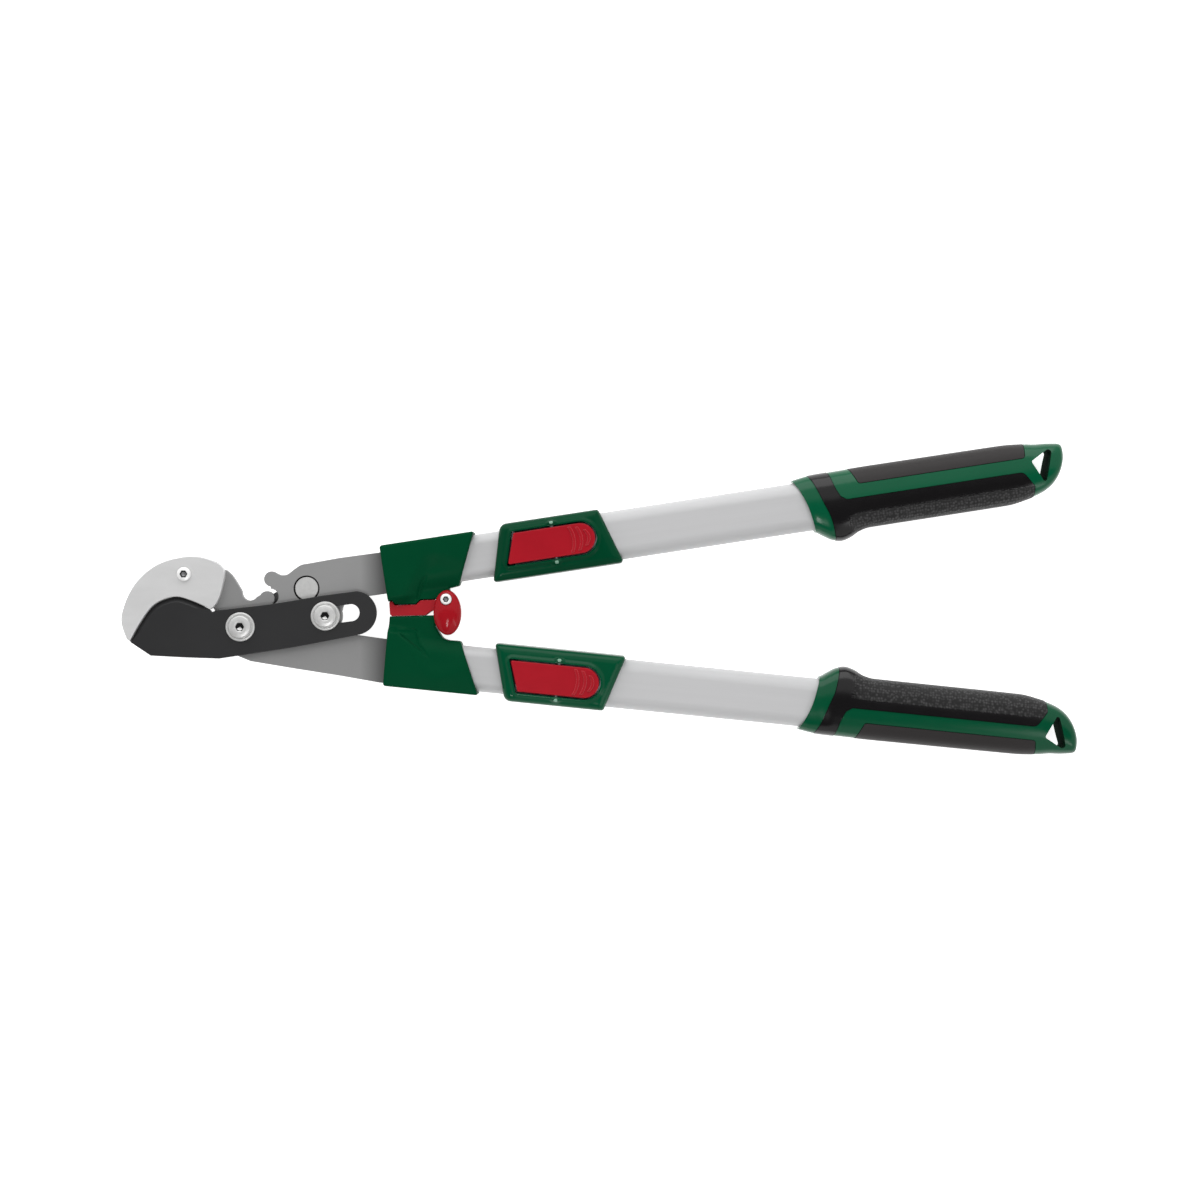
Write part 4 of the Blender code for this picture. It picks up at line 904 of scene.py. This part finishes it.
def beside(a, b, x, y):
    """How far points lie to the left of a line from a to b."""
    dx, dy = b[0] - a[0], b[1] - a[1]
    return (dx * (y - a[1]) - dy * (x - a[0])) / math.hypot(dx, dy)


# The crease between each collar's raised body and its wing
CREASES = {
    1: [(284.6, 28.4), (281.9, 25.5), (279.8, 21.8), (278.3, 17.2), (277.0, 11.4)],
    -1: [(260.5, -10.6), (272.0, -10.6), (275.8, -13.0), (278.2, -22.1), (284.0, -30.4)],
}


def collar_height(points, sign):
    """High over the arm's tongue, an oval sleeve over the tube, and flat at the wing, with soft folds."""
    x, y = points[:, 0] - COLLAR_FRONT, points[:, 1] * sign
    corner = (30.6, -6.5)  # where the folds meet
    front = ramped((y + 26) / 6.5)
    fold = ramped((beside((18.6, -25.5), corner, x, y) + 4) / 14)
    rear = ramped((beside(corner, (53.8, -18.5), x, y) + 5) / 24)
    body = WING_HALF + 6.3 * front * (1 - (1 - fold) * (1 - rear))
    reach = np.clip(np.abs(y) - 6.0, 0, 12.4)
    sleeve = 10.4 * np.sqrt(1 - (reach / 12.41) ** 2)
    return higher(body, sleeve, 3.0)


def make_collar(name, sign, body):
    place = on_axis(sign)
    outer, rear = INNER_TUBE[0] / 2 + 2.2, COLLAR_REAR
    corners = [(COLLAR_FRONT, outer, 2), (rear, outer, 1), (rear - 16.4, -18.8, 2)]
    corners += [(x, y, 0) for x, y in wing_edge(sign)]
    crease = densified(sided(from_head(sign, smooth(CREASES[sign], 4)), sign), 0.8)[:-2]
    there_and_back = crease + crease[-2:0:-1]

    def top(points, depth):
        along = points[:, 0] - COLLAR_FRONT
        away = -depths(points, there_and_back)
        faded = ramped((along - 3) / 6) * ramped((33 - along) / 8)
        groove = CREASE_DEPTH * np.exp(-((away / CREASE_WIDTH) ** 2)) * faded
        return collar_height(points, sign) - groove - fall(depth, *COLLAR_EDGE)

    def under(points, depth):
        back = WING_HALF + (collar_height(points, sign) - WING_HALF) * 1.12
        return fall(depth, *COLLAR_EDGE) - np.minimum(back, HALF_THICKNESS)

    close = [p for by in (-1.5, -1.0, -0.5, 0.5, 1.0, 1.5) for p in grown(crease, by)[1:-1]]
    collar = relief(name, sided(rounded(corners), sign), top, under, place,
                    (0.15, 0.5, 1.0, 1.5, 2.0), 1.0, crease + close)
    channel = bore(INNER_TUBE, GAP, rear - 30, rear + FAR, place)
    mouth = [(COLLAR_FRONT + x, y) for x, y in ((-20, -36), (4, -17), (4, 17), (-20, 17))]
    tongue = slab("slot", sided(mouth, sign), -BLADE_BACK, BLADE_BACK, place, CUTTER_EDGE)
    cut(collar, channel, tongue)
    if sign > 0:
        # Room for the bumper, wider in front. From 0.8 up, the grown outline would cross itself.
        for more, low, high in ((0.7, 1.0, FAR), (0.02, -1.1, 1.1), (GAP, -FAR, -1.0)):
            room = grown(bumper_outline(), more)
            cut(collar, slab("pad", room, low, high, HEAD, CUTTER_EDGE))
    return done(collar, LOOKS["collar"], body, [name.replace("_moulded", "")], angle=35)


def make_latch():
    """An oval with a rounded lower edge and a domed top, and a peg under it."""
    half_width, half_length = LATCH_SIZE
    x, y = LATCH_CENTRE
    turns = [math.radians(360 * i / 72) for i in range(72)]

    def oval(a, b, z):
        return [(x + a * math.cos(t), y + b * math.sin(t), z) for t in turns]

    loops = []
    for turn in (0, 0.5, 1.0, 1.57):
        inset = LATCH_EDGE - LATCH_EDGE * math.sin(turn)
        height = LATCH_BASE - LATCH_EDGE * math.cos(turn)
        loops.append(oval(half_width - inset, half_length - inset, height))
    start, rise = LATCH_DOME
    for turn in [i * 1.54 / 14 for i in range(15)]:
        share = math.cos(turn)
        loops.append(oval(half_width * share, half_length * share, start + rise * math.sin(turn)))
    latch = skin("oval_latch", loops, HEAD)
    place = polar(LATCH_SCREW, LATCH_REACH, PEG_ANGLE)
    peg = rod("peg", PEG_RADIUS, -3.0, 9.0, place, HEAD)
    combine(latch, "UNION", peg)
    seat = rod("seat", 4.5, 11.9, FAR, LATCH_SCREW, HEAD, 48)
    shaft = rod("shaft", 2.3, -FAR, FAR, LATCH_SCREW, HEAD)
    cut(latch, seat, shaft)
    done(latch, LOOKS["latch"], "latch", ["latch"], angle=60)
    small_screw("latch_cap_screw", LATCH_SCREW, LATCH_SCREW_SHANK, LATCH_SCREW_HEAD, LATCH_SCREW_SEAT,
                "upper_handle", "latch_screw")


def make_bumper():
    pad = slab("red_bumper", bumper_outline(), -WING_HALF, WING_HALF, HEAD, 0.7, 4)
    done(pad, LOOKS["bumper"], "upper_handle", ["bumper_pad"])


# Tubes and clamps

def tube(name, size, reach, place):
    outer, inner = tube_section(size), tube_section(size, -TUBE_WALL)
    start, end = reach
    loops = [across(outer, start), across(outer, end), across(inner, end), across(inner, start)]
    return skin(name, loops, place, ring=True)


def make_tubes(side, sign, body, sleeve):
    inner = tube(side + "_oval_inner_tube", INNER_TUBE, (TUBE_FRONT, TUBE_REAR), on_axis(sign))
    places = [SLEEVE_FRONT + LOCK_PIN + i * HOLE_STEP for i in range(HOLE_COUNT)]
    y = sign * BUTTON_CENTRE
    holes = [rod("hole", HOLE_RADIUS, 0, FAR, (x, y), on_axis(sign), 24) for x in places]
    cut(inner, *holes)
    done(inner, LOOKS["inner_" + side], body, [side + "_inner_tube"])
    outer = tube(side + "_oval_outer_tube", OUTER_TUBE, (0, SLEEVE_LENGTH), on_axis(sign, SLEEVE_FRONT))
    done(outer, LOOKS["outer_" + side], sleeve, [side + "_outer_tube"])


def button_outline(more=0.0):
    """Round at its rear end, with a slanted front."""
    low, high = (BUTTON_CENTRE + side * (BUTTON_HALF + more) for side in (-1, 1))
    end = SPRING_PLACE - 1.2
    corners = [(end, low, 0), (end, high, 0), (2.0 - more, high, 1.2), (-5.0 - more, low, 1.2)]
    return arc((end, BUTTON_CENTRE), BUTTON_HALF + more, -90, 90, 6) + rounded(corners)[2:]


def make_clamp(side, sign, sleeve):
    place = on_axis(sign, SLEEVE_FRONT)
    half = OUTER_TUBE[0] / 2 + 2.5
    corners = [(-6.8, half, 6), (-17.7, -half, 2), (77.0, -half, 2), (64.3, half, 2.5)]
    button = densified(sided(button_outline(), sign), 1.2)
    reach = BUTTON_HALF + 3.6
    pins = [(BUTTON_PIN, sign * (BUTTON_CENTRE + end * reach)) for end in (-1, 1)]

    def top(points, depth):
        frame = FRAME_RISE * ramped((FRAME_WIDTH + depths(points, button)) / FRAME_SLOPE)
        shell = CLAMP_TOP - fall(depth, *CLAMP_EDGE)
        for x, y in pins:
            apart = np.hypot((points[:, 0] - x) / 3.6, (points[:, 1] - y) / 1.5)
            shell = shell + PIN_BUMP * ramped(1.4 - apart)
        return np.minimum(shell + frame, CLAMP_LIMIT)

    def under(points, depth):
        return fall(depth, *CLAMP_BACK_EDGE) - HALF_THICKNESS

    more = [p for by in (0.6, 1.3, 2.0, 2.6, 3.2, 3.8, 4.4, 5.0) for p in grown(button, by)]
    more += [(x + i * 0.7, y + j * 0.5) for x, y in pins for i in range(-7, 8) for j in range(-5, 6)]
    shell = relief(side + "_clamp_shell", sided(rounded(corners), sign), top, under, place,
                   (0.3, 0.8, 1.5, 2.4, 3.7, 5.4), 1.7, more)
    window = slab("window", sided(button_outline(WINDOW_ROOM), sign), 5, FAR, place, CUTTER_EDGE)
    channel = bore(OUTER_TUBE, GAP, -6.3, FAR * 2, place)
    neck = bore(INNER_TUBE, 0.5, -FAR, 0, place)
    cut(shell, window, channel, neck)
    done(shell, LOOKS["clamp_" + side], sleeve, [side + "_clamp_housing"], angle=35)
    # The pin bumps' tops get a painted glint.
    for x, y in pins:
        shaded(shell, on_handle(sign, SLEEVE_FRONT + x, sign * y), 1.3, CLAMP_LIMIT - 1.0, FAR, "glint")


def make_button(side, sign, body):
    place = on_axis(sign, SLEEVE_FRONT)
    button = slab(side + "_release_button", sided(button_outline(), sign), BUTTON_BASE, BUTTON_TOP, place,
                  0.7, 4, lower=0.2)
    shares = [j / 8 - 1 for j in range(17)]
    ribs = []
    for i in range(RIB_COUNT):
        along, half = SPRING_PLACE - 5.8 + RIB_STEP * i, 9.2 - 0.9 * i * i
        front = [(along - 1.2 + 2.4 * (1 - t * t), BUTTON_CENTRE + half * t) for t in shares]
        back = [(x - RIB_WIDTH, y) for x, y in front[::-1]]
        ribs.append(slab("rib", sided(front + back, sign), RIB_BASE, RIB_TOP, place, 0.35, 2))
    combine(button, "UNION", *ribs)
    done(button, LOOKS["button"], body, [side + "_clamp_button"])


# Grips

# Sections of a grip: a place from the tube's rear end, how far the grip's outer and inner side lie outward
# of the tube's, and how far its faces lie above and below the tube's.
STATIONS = [
    (-152.0, 1.1, -1.2, 1.6),
    (-144.0, 2.4, -1.2, 2.0),
    (-135.0, 3.7, -1.6, 2.8),
    (-129.0, 4.0, -5.2, 3.5),
    (-122.5, 4.1, -9.1, 4.0),
    (-116.5, 4.2, -10.3, 4.0),
    (-110.0, 4.3, -8.8, 4.0),
    (-103.0, 4.4, -5.2, 4.0),
    (-95.0, 4.5, -3.6, 4.0),
    (5.0, 4.3, -3.2, 4.0),
    (22.0, 3.05, -0.6, 3.8),
    (31.0, 1.66, 2.0, 3.3),
]
TIP = [
    (37.5, 1.2, 5.5, 2.5),
    (43.0, 0.5, 11.0, 1.2),
    (46.5, -0.1, 17.0, -0.6),
    (48.7, -1.2, 22.8, -3.4),
    (49.5, -3.4, 25.6, -6.4),
]


def grip_station(along, outer, inner, over, more, sign, longer):
    """One section: nearly flat along the middle, from where both faces curve round to the sides."""
    stretch = longer * min(1, max(0, (along + 100) / 110))
    side, half = OUTER_TUBE[0] / 2, OUTER_TUBE[1] / 2 + over + more
    ridge = max(0, (outer + inner) / 2 - 0.5)
    curves = []
    outer -= GRIP_TUCK * stretch
    for edge, flat, square in ((side + outer + more, 0.55, 0.8), (inner - side - more, 0.66, 0.88)):
        line = [(ridge, half), (ridge + flat * (edge - ridge), half), (edge, half * square), (edge, 0)]
        curves.append([tuple(bezier(i / 12, *values) for values in zip(*line)) for i in range(13)])
    outward, inward = curves
    points = outward[::-1] + inward[1:]
    points += [(y, -z) for y, z in points[-2:0:-1]]
    return across([(y * sign, z) for y, z in points], along + stretch)


def bezier(t, a, b, c, d):
    """A Bezier curve's value at t."""
    return a * (1 - t) ** 3 + 3 * b * t * (1 - t) ** 2 + 3 * c * t * t * (1 - t) + d * t**3


def flowing(rows, parts=5):
    """Rows added between the given ones, on curves that pass through them and never overshoot."""
    spans = [math.dist(a[:3], b[:3]) for a, b in zip(rows, rows[1:])]
    secants = [[(b - a) / span for a, b in zip(p, q)] for p, q, span in zip(rows, rows[1:], spans)]
    slopes = [secants[0]]
    for before, after in zip(secants, secants[1:]):
        slopes.append([2 * a * b / (a + b) if a * b > 0 else 0.0 for a, b in zip(before, after)])
    slopes.append(secants[-1])
    made = []
    for p, q, start, end, span in zip(rows, rows[1:], slopes, slopes[1:], spans):
        count = max(parts, round(span / 6)) if span > 12 else parts
        for i in range(count):
            t = i / count
            made.append([
                (2 * t**3 - 3 * t**2 + 1) * a + (3 * t**2 - 2 * t**3) * b
                + (t**3 - 2 * t**2 + t) * span * m + (t**3 - t**2) * span * n
                for a, b, m, n in zip(p, q, start, end)
            ])
    return [*made, list(rows[-1])]


def grip_form(name, sign, longer, more=0.0, whole=True):
    """A grip's full form, larger by a distance, with or without its tip."""
    rows = flowing(STATIONS + TIP if whole else STATIONS)
    sections = [grip_station(*row, more, sign, longer) for row in rows]
    return skin(name, sections, on_axis(sign, SLEEVE_REAR))


def through(name, outline, sign):
    """A cutter through a grip from front to back."""
    return slab(name, sided(outline, sign), -FAR, FAR, on_axis(sign, SLEEVE_REAR), CUTTER_EDGE)


def make_grip(side, sign, sleeve):
    longer = LOWER_GRIP_LONGER if sign < 0 else 0.0
    front = -GRIP_ON_TUBE
    ring_front = smooth([(3.0, 27), (6.2, 20), (9.1, 13), (13.3, 0), (16.9, -11), (18.9, -26),
                         (19.3, -33)], 4)
    ring_back = smooth([(17.6, 27), (19.9, 19.6), (22.3, 10), (25.2, 3)], 4)
    palm = rounded([
        *[(front + x, y, 0) for x, y in ring_back],
        (front + 29.6, 0, 2.5),
        (17.0 + longer, 0, 5),
        (24.0 + longer, -11.0, 3),
        (21.5 + longer, -33, 0),
        *[(front + x, y, 0) for x, y in ring_front[::-1]],
    ])
    strip = rounded([
        (front + 33.3, 26, 0),
        (22.4 + longer / 2, 26, 0),
        (19.6 + longer / 2, 10.4, 2),
        (front + 39.9, 10.4, 2),
    ])
    core = grip_form(side + "_hard_grip", sign, longer)
    cutters = []
    soft_parts = (("palm", "soft", palm, PALM_PROUD), ("strip", "strip", strip, STRIP_PROUD))
    for part, kind, outline, proud in soft_parts:
        piece = grip_form(f"{side}_soft_{part}", sign, longer, proud)
        combine(piece, "INTERSECT", through("region", outline, sign))
        cut(piece, grip_form("under", sign, longer, -SOFT_DEPTH, whole=False))
        done(piece, LOOKS[f"{kind}_{side}"], sleeve, [f"{side}_grip_{part}"])
        recess = through("recess", grown(outline, RECESS_ROOM), sign)
        cut(recess, grip_form("floor", sign, longer, -RECESS_DEPTH, whole=False))
        cutters.append(recess)
    mouth = smooth([(-11.5, FAR / 2), (-8.5, 23), (-5.6, 18.3), (-1.8, 10), (1.7, 0), (3.7, -10),
                    (5.0, -18), (6.0, -FAR / 2)], 4)
    ahead = [(front - FAR, FAR / 2), *[(front + x, y) for x, y in mouth], (front - FAR, -FAR / 2)]
    cutters.append(through("ahead", ahead, sign))
    place = on_axis(sign, SLEEVE_REAR)
    cutters.append(bore(OUTER_TUBE, GAP, front - FAR, GAP, place))
    hole = [(23.9 + longer, 7.2, 1.5), (41.2 + longer, 16.2, 2.2), (32.2 + longer, -10.6, 1.5)]
    cutters.append(through("hole", rounded(hole), sign))
    cut(core, *cutters)
    done(core, LOOKS["grip_" + side], sleeve, [side + "_grip_core"], angle=40)
    # The hang hole's walls get a dark green painted shade.
    core.data.materials.append(LOOKS["hole"])
    inverse = place.inverted()
    wall = np.array(sided(rounded(hole), sign)) * MM
    for face in core.data.polygons:
        centre = inverse @ face.center
        if abs(face.normal.z) < 0.2 and abs(depths([centre[:2]], wall)[0]) < 0.25 * MM:
            face.material_index = 1


def dress_nodes():
    """The solids that stay in view get the same finishes."""
    by_slot = {"carrier_steel": "carrier", "fastener_zinc": "zinc", "pin_steel": "steel",
               "black_plastic": "black"}
    for part in frame["record"]["subparts"]:
        look = LOOKS.get(by_slot.get(part["material_slot"]))
        if look is None:
            continue
        mesh = frame["nodes"][part["node"]].data
        mesh.materials.clear()
        mesh.materials.append(look)


# Stage

def make_world():
    """A white studio, with dark patches in the roof above the object."""
    world = bpy.data.worlds.new("studio")
    world.use_nodes = True
    tree = world.node_tree
    way = add_node(tree, "TexCoord", {}).outputs["Generated"]

    def outside(centre, reach):
        """How far a direction lies from a patch's centre, as shares of its reach in X and Y."""
        scale = (1 / reach[0], 1 / reach[1], 0)
        shift = (-centre[0] / reach[0], -centre[1] / reach[1], 0)
        apart = add_node(tree, "VectorMath", {0: way, 1: scale, 2: shift}, operation="MULTIPLY_ADD")
        apart = apart.outputs["Vector"]
        return add_node(tree, "VectorMath", {0: apart}, operation="LENGTH").outputs["Value"]

    patches = dict(enumerate(outside(*patch) for patch in DARK_PATCHES))
    nearest = add_node(tree, "Math", patches, operation="MINIMUM").outputs["Value"]
    near, far = PATCH_RIM
    light = {"To Min": PATCH_LIGHT, "To Max": SKY_LIGHT}
    inputs = {"From Min": near, "From Max": far, "Value": nearest, **light}
    roof = add_node(tree, "MapRange", inputs, interpolation_type="SMOOTHSTEP").outputs["Result"]
    background = tree.nodes["Background"].inputs
    background["Color"].default_value = (1, 1, 1, 1)
    tree.links.new(roof, background["Strength"])
    bpy.context.scene.world = world


def make_stage():
    """The floor, the light and the camera."""
    mesh = bpy.data.meshes.new("floor")
    ways = ((-1, -1), (1, -1), (1, 1), (-1, 1))
    corners = [(x * FLOOR_REACH, y * FLOOR_REACH, -FLOOR_DEPTH) for x, y in ways]
    mesh.from_pydata(corners, [], [(0, 1, 2, 3)])
    floor = linked("floor", mesh)
    look = surface("pale_floor", (225, 225, 225), 0.9, tone=0.005, tone_size=300, grain=0.0)
    shader = look.node_tree.nodes["Principled BSDF"].inputs
    shader["Emission Color"].default_value = (1, 1, 1, 1)
    shader["Emission Strength"].default_value = FLOOR_GLOW
    mesh.materials.append(look)
    make_world()
    for name, place, size, power in LAMPS:
        data = bpy.data.lights.new(name, "AREA")
        data.shape = "RECTANGLE"
        data.size, data.size_y = size
        data.energy = power
        lamp = linked(name, data)
        lamp.location = place
        lamp.rotation_euler = Vector(place).to_track_quat("Z", "Y").to_euler()
    data = bpy.data.cameras.new("camera")
    data.sensor_fit = "HORIZONTAL"
    data.angle = math.radians(CAMERA_ANGLE)
    camera = linked("camera", data)
    camera.location = CAMERA_PLACE
    camera.rotation_euler = (0, 0, math.radians(CAMERA_TURN))
    bpy.context.scene.camera = camera
    bpy.context.scene.view_settings.view_transform = "Standard"


make_head()
make_bumper()
make_latch()
for side, sign in (("upper", 1), ("lower", -1)):
    handle, sleeve = side + "_handle", side + "_sleeve"
    make_collar(side + "_collar_moulded", sign, handle)
    make_tubes(side, sign, handle, sleeve)
    make_clamp(side, sign, sleeve)
    make_button(side, sign, side + "_button")
    make_grip(side, sign, sleeve)
dress_nodes()
make_stage()
